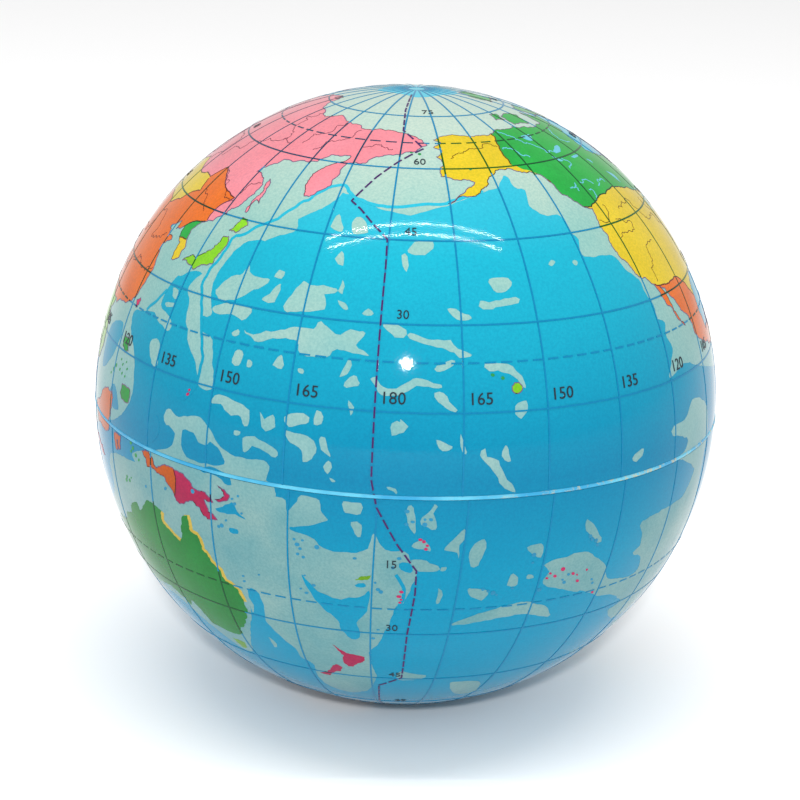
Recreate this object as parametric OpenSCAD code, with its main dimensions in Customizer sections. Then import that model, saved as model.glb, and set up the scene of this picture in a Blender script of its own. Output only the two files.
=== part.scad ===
// Foam stress ball printed as a globe. The origin is the ball's centre, +Z the north pole.
// Meridian 180 faces -Y and east runs anticlockwise seen from +Z.

/* [Ball] */
// Diameter of the ball over its print
ball_d = 76; // [60:1:100]
// Thickness of the tough self-skin on the foam
skin_t = 1.0; // [0.6:0.1:2.0]
// Clearance between the upper skin and the core that it slides over
core_gap = 0.05; // [0.02:0.01:0.1]

/* [Parting line] */
// Height of the rib along the equator, from edge to edge
rib_w = 0.5; // [0.3:0.1:1.0]
// How far the rib stands proud of the print
rib_proud = 0.12; // [0.05:0.01:0.3]

/* [Print] */
// Thickness of the blue transfer film under the inks
film_t = 0.3; // [0.2:0.1:0.5]
// Thickness of the layer that holds the inks
ink_t = 0.3; // [0.2:0.1:0.5]
// Width of the lines of the printed net
line_w = 0.3; // [0.2:0.1:0.6]
// Height of the net's lines above the inks
line_t = 0.1; // [0.08:0.01:0.2]
// Step between the printed meridians and between the parallels, in degrees
net_step = 15; // [10:5:30]
// Bare width along each border that keeps the colours from running together
border_gap = 0.08; // [0.04:0.02:0.3]
// Radius around each pole that the meridians leave clear
pole_clear = 0.9; // [0.5:0.1:2.0]
// How far the northern print is drawn towards the equator, in degrees
north_draw = 1.7; // [0:0.1:3]
// How far the southern print is drawn towards the equator, in degrees
south_draw = 2.4; // [0:0.1:3]

/* [Hidden] */
$fn = 144;
ball_r = ball_d / 2;
film_r = ball_r - ink_t;
skin_r = film_r - film_t;
core_r = skin_r - skin_t;
rib_top = ball_r + rib_proud;
far = ball_r + 2;

BLUE = "#2a9fd8";
PALE = "#b5e3e6";
FOAM = "#e9e2cf";
PINK = "#f58ab5";
ORANGE = "#ef7d1f";
YELLOW = "#f6d92c";
GREEN = "#2f9e4a";
LIME = "#a9d04a";
MAGENTA = "#e0217f";
WHITE = "#eef5f5";
NAVY = "#1c5f9e";

// ---- Lands: the point that an outline is punched towards, then the coast. All are ----
// ---- [longitude, latitude] in degrees, once round. ----
EURASIA = [[75, 45], [
    [-9, 38], [-9, 43], [-2, 43.5], [-1, 46], [-4.5, 48.3], [2, 50.5], [5, 53], [8.5, 54], [8, 57],
    [10.5, 57.5], [11, 54.3], [19, 54.7], [21.5, 57], [24, 59], [29.5, 60], [22, 60.5], [21.5, 63],
    [25, 65.3], [22, 65.8], [17.3, 62], [18.5, 60], [16, 57], [13, 55.5], [11, 59], [7, 58], [5, 60.5],
    [10, 64], [15, 68.5], [25, 71], [33, 69.5], [41, 67], [34, 66.3], [38, 64], [44, 66], [46, 68],
    [60, 69], [68, 68.5], [67, 72], [72, 72], [80, 73.5], [90, 75.5], [104, 77.5], [113, 74],
    [127, 72.5], [140, 72.5], [152, 71], [161, 69.5], [170, 70], [180, 69], [190, 66], [186, 64.5],
    [179, 62.3], [171, 60], [163.5, 59.8], [162.3, 57.5], [163, 56], [160, 53], [156.7, 51],
    [155.7, 55], [156.7, 57.8], [163, 61.5], [163.5, 62.5], [157, 61.6], [150, 59.6], [142.5, 59.2],
    [135.5, 54.8], [141, 53], [140.5, 49], [136, 45], [132, 43], [127.7, 39.6], [129.5, 37],
    [129, 35.2], [126.5, 34.5], [126.7, 37.5], [125, 38], [124.5, 40], [121.3, 39], [121.5, 40.8],
    [118, 39], [120, 37.6], [122.5, 37], [119.5, 35], [121.8, 31], [121.5, 28.5], [119, 25.5],
    [116, 23], [110, 21], [108, 21.5], [106, 19], [109, 14.5], [109, 12], [105, 8.7], [105, 10.3],
    [102.5, 12], [100.5, 13.3], [99.5, 10], [101.5, 6.8], [103.5, 4], [104, 1.4], [101, 2.8],
    [100, 6.3], [98.3, 8.5], [98.5, 12.5], [97.3, 16.6], [94.5, 16], [94, 19], [91.5, 22.5],
    [88, 21.7], [86, 20], [82, 16.5], [80, 15], [80, 11], [77.5, 8], [75, 12], [73, 17], [72.7, 21],
    [70, 20.8], [67, 24.8], [61.5, 25.1], [57, 26.5], [54, 26.7], [50.5, 29.5], [48, 30], [50, 26.5],
    [52, 24.2], [54.5, 24.2], [56.3, 26], [57, 24], [59.8, 22.5], [57.8, 19], [52, 15.6], [45, 12.9],
    [43.2, 12.8], [42.8, 16.4], [39, 21], [35, 28], [33, 30], [34.2, 31.3], [36, 36.6], [30.5, 36.5],
    [27.3, 37], [26.3, 39.5], [29, 41.2], [33, 42], [41.3, 41.5], [37.5, 45], [33.5, 44.6],
    [31, 46.5], [28.3, 43.5], [28, 41.5], [23.5, 40.3], [24, 38], [22.5, 36.5], [19.5, 41],
    [13.7, 45.6], [12.5, 44], [18.4, 40], [16, 38], [15, 40.2], [10.3, 43], [8.8, 44.4], [6, 43],
    [3, 42.5], [-0.5, 39], [-2, 37.1], [-5.5, 36.7], [-9, 37.3]
]];
NORTH_AMERICA = [[-100, 45], [
    [-168, 65.6], [-162, 66.5], [-166, 68.3], [-157, 71.3], [-141, 69.7], [-128, 70], [-115, 69],
    [-108, 68], [-96, 68], [-94, 72], [-86, 69], [-82, 69.5], [-86, 66.5], [-88, 64], [-93.5, 61],
    [-94.5, 58.8], [-88, 56.7], [-82, 55.2], [-80, 51.3], [-79, 54.7], [-77, 57], [-78, 62.4],
    [-70, 61], [-66, 58.7], [-64.5, 60.3], [-61.5, 57], [-56, 52], [-60, 50.2], [-66.5, 50],
    [-64.5, 47], [-60, 46.2], [-66, 43.5], [-67, 45], [-70.5, 43], [-74, 40.5], [-76, 35],
    [-81, 31.5], [-80.2, 25.5], [-82.7, 28.5], [-84, 30], [-94, 29.5], [-97.3, 27.5], [-97.7, 22.5],
    [-95.5, 18.7], [-91, 18.6], [-90.3, 21], [-87, 21.3], [-88.3, 16], [-83.3, 15], [-83.7, 11],
    [-80, 9.2], [-78.5, 7.8], [-83, 8.3], [-86, 11], [-88, 13], [-94, 16], [-102, 18],
    [-105.6, 20.5], [-105.7, 22.5], [-109.4, 26], [-112.8, 31], [-114.7, 31.7], [-112.8, 28],
    [-109.5, 23], [-112.2, 25], [-114.5, 28], [-117, 32.5], [-120.6, 34.5], [-122.5, 37.8],
    [-124.3, 40.4], [-124, 46], [-123, 48.7], [-128, 51], [-131, 55], [-136, 58.3], [-142, 60],
    [-148, 60.8], [-152, 59], [-157, 56.5], [-163, 54.6], [-158, 58.3], [-162, 59], [-165.5, 61.5],
    [-161, 64], [-166, 64.5]
]];
SOUTH_AMERICA = [[-60, -20], [
    [-77, 8.5], [-75, 11], [-72, 12], [-62, 10.5], [-57, 6], [-51, 4], [-50, 0.5], [-44, -2.8],
    [-38.5, -3.7], [-35, -6], [-35, -9], [-39, -13.5], [-39.5, -19], [-42, -22.8], [-48, -26],
    [-53.5, -34], [-58, -34.5], [-57, -37], [-62, -39], [-65, -41.5], [-67.5, -47], [-69, -51],
    [-66, -55], [-71, -54.5], [-75, -50], [-73.5, -38], [-71.5, -30], [-70.3, -19], [-76.3, -13.8],
    [-81.2, -5], [-80.5, 0], [-77.3, 4]
]];
AFRICA = [[20, 0], [
    [-6, 35], [3, 36.2], [10, 36.8], [11, 34], [15.5, 32], [20, 30.7], [23, 32.5], [29, 31],
    [32, 31], [35.5, 24], [37.2, 20.5], [39.5, 15.3], [43, 11.7], [51, 11.8], [48, 4.5], [42, -1.5],
    [39, -5], [40.5, -10.5], [40.5, -15], [35, -20], [35.5, -24], [32.7, -27.5], [28, -33],
    [19.5, -34.7], [15, -26.5], [11.8, -17.5], [13.7, -11], [9, -1], [9.5, 4], [6, 4.3],
    [-7.7, 4.4], [-13, 8.5], [-17, 14.7], [-16, 19], [-13, 27.5], [-9.8, 30.5]
]];
AUSTRALIA = [[134, -25], [
    [114, -22], [113.7, -26], [115.7, -32], [115, -34.3], [118.5, -34.8], [126, -32.3],
    [131, -31.5], [135.5, -34.8], [137.8, -32.8], [140.5, -38], [147, -38.8], [150, -37.3],
    [153.2, -30], [153.2, -25.5], [149, -20.8], [146, -18.8], [145.3, -15], [142.6, -10.8],
    [140.8, -17.5], [135.5, -15], [136.8, -12.2], [132.5, -11.4], [129, -15], [126, -14],
    [122.3, -17.8], [119, -20]
]];
ANTARCTICA = [[0, -90], [
    [-60, -64.5], [-63, -69], [-62, -75], [-35, -78], [-15, -72.5], [15, -70], [50, -67],
    [80, -68], [115, -66.5], [145, -67], [170, -71.5], [165, -78], [-160, -79], [-130, -74],
    [-100, -73], [-75, -72.5], [-66, -66]
]];
GREENLAND = [[-40, 72], [
    [-72, 78], [-60, 82], [-35, 83.4], [-20, 81], [-20, 75], [-24, 70], [-33, 67.5], [-42, 62.5],
    [-45, 60], [-50, 63], [-53.5, 67], [-52, 70], [-58, 75.3]
]];
HIGH_ARCTIC = [[-80, 80], [[-92, 77], [-78, 77], [-66, 81.5], [-78, 82.8], [-94, 81]]];
BAFFIN = [[-75, 68], [[-66, 62.5], [-62, 66.5], [-78, 73.3], [-89, 73.3], [-85, 70.5], [-74, 66]]];
VICTORIA = [[-110, 71], [[-117, 70], [-106, 69.2], [-102, 72], [-108, 73.3], [-117, 73]]];
BANKS = [[-121, 73], [[-125, 72.3], [-119, 71.8], [-117, 74], [-123, 74.3]]];
NOVAYA = [[60, 74], [[53, 71.3], [56.5, 71], [67, 76], [60, 76]]];
ICELAND = [[-19, 65], [[-23.5, 65.5], [-21.5, 63.9], [-14, 64.8], [-16, 66.4]]];
BRITAIN = [[-2, 54], [
    [-5.3, 50.2], [1.2, 51.3], [0.5, 53], [-2, 56], [-3.5, 58.6], [-6, 57], [-3.2, 54.5], [-5, 52]
]];
IRELAND = [[-8, 54], [[-10, 52], [-6.3, 52.3], [-6, 54.5], [-8.5, 55.2]]];
SAKHALIN = [[143, 50], [[142.3, 54], [143.7, 50], [143, 46.3], [141.8, 48]]];
HOKKAIDO = [[143, 43], [[140.2, 41.7], [143.3, 42.1], [145.3, 43.4], [141.8, 45.3]]];
HONSHU = [[137, 36], [
    [130, 33], [131, 31.3], [132.3, 33], [135.5, 33.6], [140.2, 35.2], [141.9, 39.5], [141, 41.3],
    [139.5, 38.6], [136.8, 37], [132.6, 35.4]
]];
TAIWAN = [[121, 24], [[120.2, 23], [121.3, 25.2], [122, 24.8], [121, 22]]];
LUZON = [[121, 16], [[120.4, 18.4], [122.2, 18.4], [122, 15], [124, 13], [121, 13.7], [120, 16]]];
MINDANAO = [[124, 8], [[122, 7.2], [125.4, 5.8], [126.4, 8.2], [125.2, 11.5], [122.3, 11.5], [123.5, 8.8]]];
CEYLON = [[81, 8], [[80, 9.6], [81.8, 7.5], [80.5, 6]]];
CUBA = [[-80, 22], [[-84.8, 22], [-81, 23.1], [-74.3, 20.3], [-77.7, 20]]];
HISPANIOLA = [[-72, 19], [[-74.3, 18.4], [-73, 19.9], [-68.5, 18.6]]];
SUMATRA = [[101, 0], [[95.3, 5.6], [98, 4], [103.5, 0], [106, -3], [105.5, -5.8], [102, -4], [98.5, 1.5]]];
JAVA = [[110, -7], [[105.2, -6.8], [112.7, -6.8], [114.5, -8.4], [108, -7.9]]];
BORNEO = [[114, 1], [[109, 1.5], [111.5, 2.5], [117, 7], [119, 5], [116, -3.7], [111, -3.2]]];
CELEBES = [[121, -2], [[119, -0.5], [120, 1], [125, 1.5], [121.5, -0.7], [122, -5], [119.5, -5.5]]];
NEW_GUINEA = [[140, -5], [
    [131, -0.9], [134, -0.8], [135, -3.3], [141, -2.6], [145.5, -4.7], [147.8, -6.2], [147, -7],
    [150.8, -10.3], [147.3, -9.6], [144, -7.7], [141, -9.2], [138, -8.3], [138, -6], [133, -4]
]];
NEW_BRITAIN = [[150, -5], [[148.3, -5.7], [152, -4.3], [151, -6.2]]];
TASMANIA = [[147, -42], [[144.8, -40.8], [148.3, -40.9], [147.8, -43], [146, -43.5]]];
ZEALAND_NORTH = [[176, -38], [[172.8, -34.6], [175.5, -36.6], [178.4, -37.8], [175.2, -41.4], [174, -39.2]]];
ZEALAND_SOUTH = [[170, -44], [[172.7, -40.6], [174.3, -41.8], [171, -44.3], [168.8, -46.6], [166.6, -45.9]]];
MADAGASCAR = [[47, -19], [[49.3, -12.3], [50.3, -15.5], [47, -25], [44, -25], [44, -17]]];
HAWAII = [[-155, 20], [[-156.2, 20.3], [-154.8, 19.6], [-155.7, 18.9]]];

LANDS = [
    EURASIA, NORTH_AMERICA, SOUTH_AMERICA, AFRICA, AUSTRALIA, ANTARCTICA, GREENLAND, HIGH_ARCTIC,
    BAFFIN, VICTORIA, BANKS, NOVAYA, ICELAND, BRITAIN, IRELAND, SAKHALIN, HOKKAIDO, HONSHU, TAIWAN,
    LUZON, MINDANAO, CEYLON, CUBA, HISPANIOLA, SUMATRA, JAVA, BORNEO, CELEBES, NEW_GUINEA,
    NEW_BRITAIN, TASMANIA, ZEALAND_NORTH, ZEALAND_SOUTH, MADAGASCAR, HAWAII
];

// ---- Countries: blocks of one colour, which their land's coast trims ----
RUSSIA = [
    [28, 80], [110, 84], [195, 75], [200, 60], [165, 45], [140, 42], [131, 42.5], [131, 45],
    [134.5, 48.3], [127, 50], [120, 53.3], [116, 50], [107, 49.5], [98, 52], [88, 49.5], [80, 51],
    [76, 54], [69, 55.3], [61, 54], [60, 51], [50, 51.5], [47, 48], [48.5, 42], [40, 43.5],
    [37, 44], [37, 47], [39, 49.5], [32, 53], [28, 56], [28, 60], [30, 62.5], [28, 69]
];
MONGOLIA = [[88, 49.5], [98, 52], [107, 49.5], [116, 50], [118, 47], [111, 43.5], [105, 41.7], [96, 42.7]];
CHINA = [
    [131, 42.5], [131, 45], [134.5, 48.3], [127, 50], [120, 53.3], [116, 50], [118, 47],
    [111, 43.5], [105, 41.7], [96, 42.7], [88, 49.5], [82, 45], [80, 42], [74, 39.5], [79, 32.5],
    [86, 28], [97, 28], [98.5, 24], [102, 22], [108, 21.5], [112, 17], [125, 25], [125, 36],
    [123, 38.5], [124.5, 40.5], [128, 42]
];
KOREA_NORTH = [[123, 38.5], [124.5, 40.5], [128, 42], [131, 42.5], [130.5, 38.7], [124, 37.8]];
KOREA_SOUTH = [[124, 37.8], [130.5, 38.7], [131, 34], [125, 33]];
STEPPE = [
    [47, 48], [50, 51.5], [60, 51], [61, 54], [69, 55.3], [76, 54], [80, 51], [88, 49.5], [82, 45],
    [80, 42], [74, 39.5], [71, 37], [61, 36], [54, 37.5], [48.5, 42]
];
PERSIA = [
    [48.5, 42], [54, 37.5], [61, 36], [71, 37], [74, 39.5], [79, 32.5], [70, 27], [67, 22],
    [60, 24], [56.5, 26.25], [53, 26], [48, 29], [45, 35], [44, 40]
];
INDIA = [[79, 32.5], [70, 27], [67, 22], [72, 10], [78, 5], [84, 10], [91, 20], [92, 26], [97, 28], [86, 28]];
INDOCHINA = [
    [97, 28], [98.5, 24], [102, 22], [108, 21.5], [112, 17], [110, 6], [104, -1], [96, 6], [91, 20],
    [92, 26]
];
ARABIA = [
    [33, 30], [40, 33], [45, 35], [48, 29], [53, 26], [56.5, 26.25], [60, 24], [62, 22], [52, 13],
    [43, 12], [36, 24]
];
ANATOLIA = [[25, 41], [30, 43], [40, 43.5], [48.5, 42], [44, 40], [45, 35], [40, 33], [33, 30], [25, 34]];
EAST_EUROPE = [
    [37, 44], [37, 47], [39, 49.5], [32, 53], [28, 56], [28, 60], [20, 58], [14, 55], [15, 51],
    [17, 48], [14, 46], [13.6, 45.3], [18.7, 40.6], [20, 36], [26, 34], [25, 41], [30, 43]
];
WEST_EUROPE = [
    [14, 46], [17, 48], [15, 51], [14, 55], [10, 56], [12, 58.5], [4, 58], [-8, 49], [-4, 44.5],
    [-2, 43], [3.5, 42.5], [7, 44]
];
IBERIA = [[-12, 34], [-12, 44.5], [-4, 44.5], [-2, 43], [3.5, 42.5], [4, 36]];
ITALY = [[7, 44], [14, 46], [13.6, 45.3], [18.7, 40.6], [20, 36], [8, 36], [3.5, 42.5]];
NORDIC = [
    [20, 58], [28, 60], [30, 62.5], [28, 69], [28, 80], [0, 66], [4, 58], [12, 58.5], [10, 56],
    [14, 55]
];
ALASKA = [[-141, 60.3], [-141, 75], [-175, 72], [-175, 50], [-150, 55], [-135, 54], [-131, 55.5]];
CANADA = [
    [-141, 60.3], [-141, 75], [-90, 78], [-50, 60], [-50, 44], [-67, 43], [-68, 47], [-75, 45],
    [-83, 42.5], [-84, 46], [-95, 49], [-123, 49], [-135, 48], [-135, 54], [-131, 55.5]
];
STATES = [
    [-67, 43], [-68, 47], [-75, 45], [-83, 42.5], [-84, 46], [-95, 49], [-123, 49], [-135, 48],
    [-125, 32], [-117, 32.5], [-111, 31.3], [-106, 31.7], [-101, 29.5], [-97, 25.8], [-85, 24],
    [-76, 24]
];
MEXICO = [
    [-125, 32], [-117, 32.5], [-111, 31.3], [-106, 31.7], [-101, 29.5], [-97, 25.8], [-85, 24],
    [-87, 18], [-91, 17], [-92, 12], [-110, 15]
];
CENTRAL_AMERICA = [[-87, 18], [-91, 17], [-92, 12], [-84, 5], [-76, 6], [-76, 12]];
BRAZIL = [
    [-50, 5], [-60, 5], [-70, 1], [-73, -8], [-65, -12], [-58, -20], [-54, -26], [-58, -30],
    [-50, -36], [-33, -20], [-33, 0]
];
GUIANA = [[-50, 5], [-60, 5], [-70, 1], [-82, 1], [-80, 14], [-55, 12]];
ANDES = [[-70, 1], [-73, -8], [-65, -12], [-66, -22], [-71, -24], [-85, -15], [-82, 1]];
PLATA = [
    [-65, -12], [-58, -20], [-54, -26], [-58, -30], [-50, -36], [-60, -57], [-68, -56], [-70, -35],
    [-66, -22]
];
CHILE = [[-66, -22], [-70, -35], [-68, -56], [-80, -56], [-76, -24], [-71, -24]];
MAGHREB = [[-20, 20], [-20, 37], [12, 40], [12, 30], [0, 22], [-6, 22]];
NILE = [[12, 40], [36, 33], [42, 16], [41, 14], [24, 14], [24, 22], [12, 30]];
SAHEL = [[-20, 20], [-6, 22], [0, 22], [12, 30], [24, 22], [24, 14], [14, 10], [5, 14], [-20, 13]];
GUINEA = [[-20, 13], [5, 14], [14, 10], [10, 1], [6, -2], [-12, 2]];
CONGO = [[14, 10], [24, 14], [28, 5], [30, -8], [24, -11], [10, -13], [6, -2], [10, 1]];
HORN = [[24, 14], [41, 14], [54, 13], [46, -3], [36, -5], [30, -8], [28, 5]];
SOUTH_AFRICA = [[10, -13], [24, -11], [30, -8], [36, -5], [46, -3], [46, -20], [30, -40], [14, -38]];
JAYA = [[128, 2], [141, 2], [141, -12], [128, -8]];
PAPUA = [[141, 2], [141, -12], [153, -12], [153, -2]];

// ---- Shelves: shallow sea, trimmed by the coasts that stand in it ----
ARCTIC_SEA = [for (lon = [0 : 30 : 330]) [lon, lon > 120 && lon < 250 ? 71 : 74]];
BERING_SEA = [[160, 61], [163, 54], [176, 51.5], [-166, 52], [-150, 57], [-157, 62], [-168, 68], [-178, 68]];
FAR_EAST_SEAS = [[108, 20], [117, 17], [124, 24], [132, 29], [146, 42], [150, 56], [136, 57], [118, 42]];
CORAL_SEA = [
    [124, -3], [150, -2], [164, -8], [172, -17], [166, -33], [176, -33], [182, -38], [176, -48],
    [164, -47], [155, -44], [140, -41], [124, -36], [110, -36], [110, -20]
];

// ---- Map arithmetic ----
function draw_in(lat) = lat >= 0 ? lat - north_draw * sin(2 * lat) : lat - south_draw * sin(2 * lat);

// A map point as seen along the axis through lon0, lat0, on a ball of radius ball_r.
function facing(p, lon0, lat0) =
    let (lat = draw_in(p[1]), turn = p[0] - lon0)
    ball_r * [sin(lat0) * cos(lat) * cos(turn) - cos(lat0) * sin(lat), cos(lat) * sin(turn)];

function flatten(points, axis) = [for (p = points) facing(p, axis[0], axis[1])];

function area(p, i = 0) =
    i == len(p) ? 0 : cross(p[i], p[(i + 1) % len(p)]) / 2 + area(p, i + 1);

// A flat outline with every edge moved inwards by d.
function shrink(p, d) =
    let (n = len(p), turn = sign(area(p)))
    [
        for (i = [0 : n - 1])
            let (
                before = p[i] - p[(i + n - 1) % n],
                after = p[(i + 1) % n] - p[i],
                a = before / norm(before),
                b = after / norm(after)
            )
            p[i] + turn * d * [-a[1] - b[1], a[0] + b[0]] / (1 + a * b)
    ];

module outline(points, axis) {
    polygon(flatten(points, axis));
}

// Stands a flat outline on the ball's centre and drives it out through the surface.
module punch(axis) {
    rotate([0, 90 - axis[1], axis[0] + 90])
        translate([0, 0, 4])
            linear_extrude(height = far)
                children();
}

// ---- Spherical layers ----
module layer(r_out, r_in) {
    difference() {
        sphere(r = r_out);
        sphere(r = r_in);
    }
}

// The half of what is given that lies beyond the parting rib, with side 1 north and -1 south.
module half(side) {
    intersection() {
        children();
        translate([-far, -far, side > 0 ? rib_w / 2 : -rib_w / 2 - far])
            cube([2 * far, 2 * far, far]);
    }
}

module ink_layer(side) {
    half(side)
        layer(ball_r, film_r);
}

module land(land) {
    punch(land[0])
        outline(land[1], land[0]);
}

// One country: what lies inside both its land's coast and its block, clear of its neighbours.
module country(land, block) {
    punch(land[0])
        intersection() {
            outline(land[1], land[0]);
            polygon(shrink(flatten(block, land[0]), border_gap / 2));
        }
}

// The children's punches cut out of the ink layer, one patch each.
module inked(side) {
    for (i = [0 : $children - 1])
        intersection() {
            ink_layer(side);
            children(i);
        }
}

module shelf_punches(side) {
    if (side > 0) {
        punch([0, 90])
            outline(ARCTIC_SEA, [0, 90]);
        punch([180, 58])
            outline(BERING_SEA, [180, 58]);
        punch([132, 38])
            outline(FAR_EAST_SEAS, [132, 38]);
    } else {
        punch([150, -25])
            outline(CORAL_SEA, [150, -25]);
    }
}

// ---- Body of the ball ----
module foam_core() {
    color(FOAM)
        sphere(r = core_r);
}

module parting_rib() {
    color(PALE)
        rotate_extrude()
            translate([core_r + core_gap, 0])
                union() {
                    translate([0, -rib_w / 2])
                        square([rib_top - rib_w / 2 - core_r - core_gap, rib_w]);
                    translate([rib_top - rib_w / 2 - core_r - core_gap, 0])
                        circle(d = rib_w);
                }
}

module north_skin() {
    color(FOAM)
        half(1)
            layer(skin_r, core_r + core_gap);
}

module south_skin() {
    color(FOAM)
        half(-1)
            layer(skin_r, core_r + core_gap);
}

// ---- Print ----
module film(side) {
    color(BLUE)
        half(side)
            layer(film_r, skin_r);
}

module all_lands() {
    for (coast = LANDS)
        land(coast);
}

module sea(side) {
    color(BLUE)
        difference() {
            ink_layer(side);
            shelf_punches(side);
            all_lands();
        }
}

module shelf(side) {
    color(PALE)
        difference() {
            intersection() {
                ink_layer(side);
                shelf_punches(side);
            }
            all_lands();
        }
}

module pink(side) {
    color(PINK)
        inked(side) {
            country(EURASIA, RUSSIA);
            land(SAKHALIN);
            land(NOVAYA);
            country(AFRICA, CONGO);
            country(SOUTH_AMERICA, ANDES);
        }
}

module orange(side) {
    color(ORANGE)
        inked(side) {
            country(EURASIA, CHINA);
            country(EURASIA, ARABIA);
            country(EURASIA, IBERIA);
            country(NORTH_AMERICA, MEXICO);
            country(AFRICA, NILE);
            country(SOUTH_AMERICA, PLATA);
            country(NEW_GUINEA, JAYA);
            land(SUMATRA);
            land(ICELAND);
        }
}

module yellow(side) {
    color(YELLOW)
        inked(side) {
            country(EURASIA, MONGOLIA);
            country(EURASIA, KOREA_SOUTH);
            country(EURASIA, INDIA);
            country(EURASIA, EAST_EUROPE);
            country(NORTH_AMERICA, ALASKA);
            country(NORTH_AMERICA, STATES);
            country(SOUTH_AMERICA, GUIANA);
            country(AFRICA, MAGHREB);
            country(AFRICA, SOUTH_AFRICA);
            land(BORNEO);
        }
}

module green(side) {
    color(GREEN)
        inked(side) {
            country(EURASIA, KOREA_NORTH);
            country(EURASIA, STEPPE);
            country(EURASIA, ANATOLIA);
            country(EURASIA, ITALY);
            country(NORTH_AMERICA, CANADA);
            country(SOUTH_AMERICA, BRAZIL);
            country(AFRICA, GUINEA);
            for (coast = [AUSTRALIA, HIGH_ARCTIC, BAFFIN, VICTORIA, BANKS, LUZON, MINDANAO, IRELAND])
                land(coast);
        }
}

module lime(side) {
    color(LIME)
        inked(side) {
            country(EURASIA, INDOCHINA);
            country(EURASIA, NORDIC);
            country(NORTH_AMERICA, CENTRAL_AMERICA);
            country(SOUTH_AMERICA, CHILE);
            country(AFRICA, SAHEL);
            for (coast = [HOKKAIDO, HONSHU, HAWAII, CELEBES, TASMANIA, MADAGASCAR])
                land(coast);
        }
}

module magenta(side) {
    color(MAGENTA)
        inked(side) {
            country(EURASIA, PERSIA);
            country(EURASIA, WEST_EUROPE);
            country(AFRICA, HORN);
            country(NEW_GUINEA, PAPUA);
            for (coast = [BRITAIN, TAIWAN, CEYLON, CUBA, HISPANIOLA, JAVA, NEW_BRITAIN])
                land(coast);
            land(ZEALAND_NORTH);
            land(ZEALAND_SOUTH);
        }
}

module ice(side) {
    color(WHITE)
        inked(side) {
            land(GREENLAND);
            land(ANTARCTICA);
        }
}

// The net: lines of one ink, printed over all the colours.
module net(side) {
    color(NAVY)
        intersection() {
            half(side)
                layer(ball_r + line_t, ball_r);
            union() {
                for (lon = [0 : net_step : 180 - net_step])
                    rotate([0, 0, lon])
                        meridian_pair();
                for (lat = [net_step : net_step : 90 - net_step])
                    parallel(side * lat);
            }
        }
}

module meridian_pair() {
    for (way = [-1, 1])
        translate([way > 0 ? pole_clear : -far, -line_w / 2, -far])
            cube([far - pole_clear, line_w, 2 * far]);
}

module parallel(lat) {
    drawn = draw_in(lat);
    half_w = line_w / ball_r * 90 / PI;
    rotate_extrude()
        polygon([
            for (edge = [[-1, 0.9], [-1, 1.1], [1, 1.1], [1, 0.9]])
                ball_r * edge[1] * [cos(drawn + edge[0] * half_w), sin(drawn + edge[0] * half_w)]
        ]);
}

module north_film() film(1);
module north_sea() sea(1);
module north_shelf() shelf(1);
module north_pink() pink(1);
module north_orange() orange(1);
module north_yellow() yellow(1);
module north_green() green(1);
module north_lime() lime(1);
module north_magenta() magenta(1);
module north_ice() ice(1);
module north_net() net(1);
module south_film() film(-1);
module south_sea() sea(-1);
module south_shelf() shelf(-1);
module south_pink() pink(-1);
module south_orange() orange(-1);
module south_yellow() yellow(-1);
module south_green() green(-1);
module south_lime() lime(-1);
module south_magenta() magenta(-1);
module south_ice() ice(-1);
module south_net() net(-1);

foam_core();
parting_rib();
north_skin();
north_film();
north_sea();
north_shelf();
north_pink();
north_orange();
north_yellow();
north_green();
north_lime();
north_magenta();
north_ice();
north_net();
south_skin();
south_film();
south_sea();
south_shelf();
south_pink();
south_orange();
south_yellow();
south_green();
south_lime();
south_magenta();
south_ice();
south_net();
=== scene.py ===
import math
import random

import bmesh
import bpy
import numpy as np
from mathutils import Matrix, Vector, noise
from mathutils.geometry import delaunay_2d_cdt


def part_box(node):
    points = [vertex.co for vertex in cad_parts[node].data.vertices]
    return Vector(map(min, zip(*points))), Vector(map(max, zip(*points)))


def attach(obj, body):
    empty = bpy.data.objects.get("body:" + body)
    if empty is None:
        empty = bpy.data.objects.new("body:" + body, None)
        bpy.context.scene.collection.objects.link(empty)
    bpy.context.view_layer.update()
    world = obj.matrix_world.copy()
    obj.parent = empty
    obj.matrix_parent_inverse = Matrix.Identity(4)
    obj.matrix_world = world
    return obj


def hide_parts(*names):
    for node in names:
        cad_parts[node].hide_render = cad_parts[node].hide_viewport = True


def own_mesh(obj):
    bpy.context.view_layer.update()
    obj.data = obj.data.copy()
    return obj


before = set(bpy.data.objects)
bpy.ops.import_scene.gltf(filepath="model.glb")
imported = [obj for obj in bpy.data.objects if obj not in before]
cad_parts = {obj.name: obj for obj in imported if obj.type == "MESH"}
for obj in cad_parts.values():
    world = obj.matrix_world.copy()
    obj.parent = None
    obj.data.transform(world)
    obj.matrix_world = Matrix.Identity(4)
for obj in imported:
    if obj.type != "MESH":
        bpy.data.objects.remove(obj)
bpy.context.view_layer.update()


# ---- Foam core ----
# The ball is one moulding of slow-rising polyurethane foam. Its inside is open cells that gas
# blew in the mould, cream and soft. Nothing is fixed to it: the tougher skin grows on it.
MM = 0.001
CORE_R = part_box("foam_core")[1].z
BALL_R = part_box("north_shelf")[1].z
FOAM_CELL = 2.4 * MM
FOAM_DENT = 0.15 * MM


class Wire:
    """A socket of a finish. Arithmetic on wires adds Math nodes."""

    def __init__(self, recipe, socket):
        self.recipe, self.socket = recipe, socket

    def math(self, operation, first, second):
        return self.recipe.add("ShaderNodeMath", {"operation": operation}, {0: first, 1: second})

    def __add__(self, other):
        return self.math("ADD", self, other)

    def __mul__(self, other):
        return self.math("MULTIPLY", self, other)

    def __truediv__(self, other):
        return self.math("DIVIDE", self, other)

    __radd__ = __add__
    __rmul__ = __mul__


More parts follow.
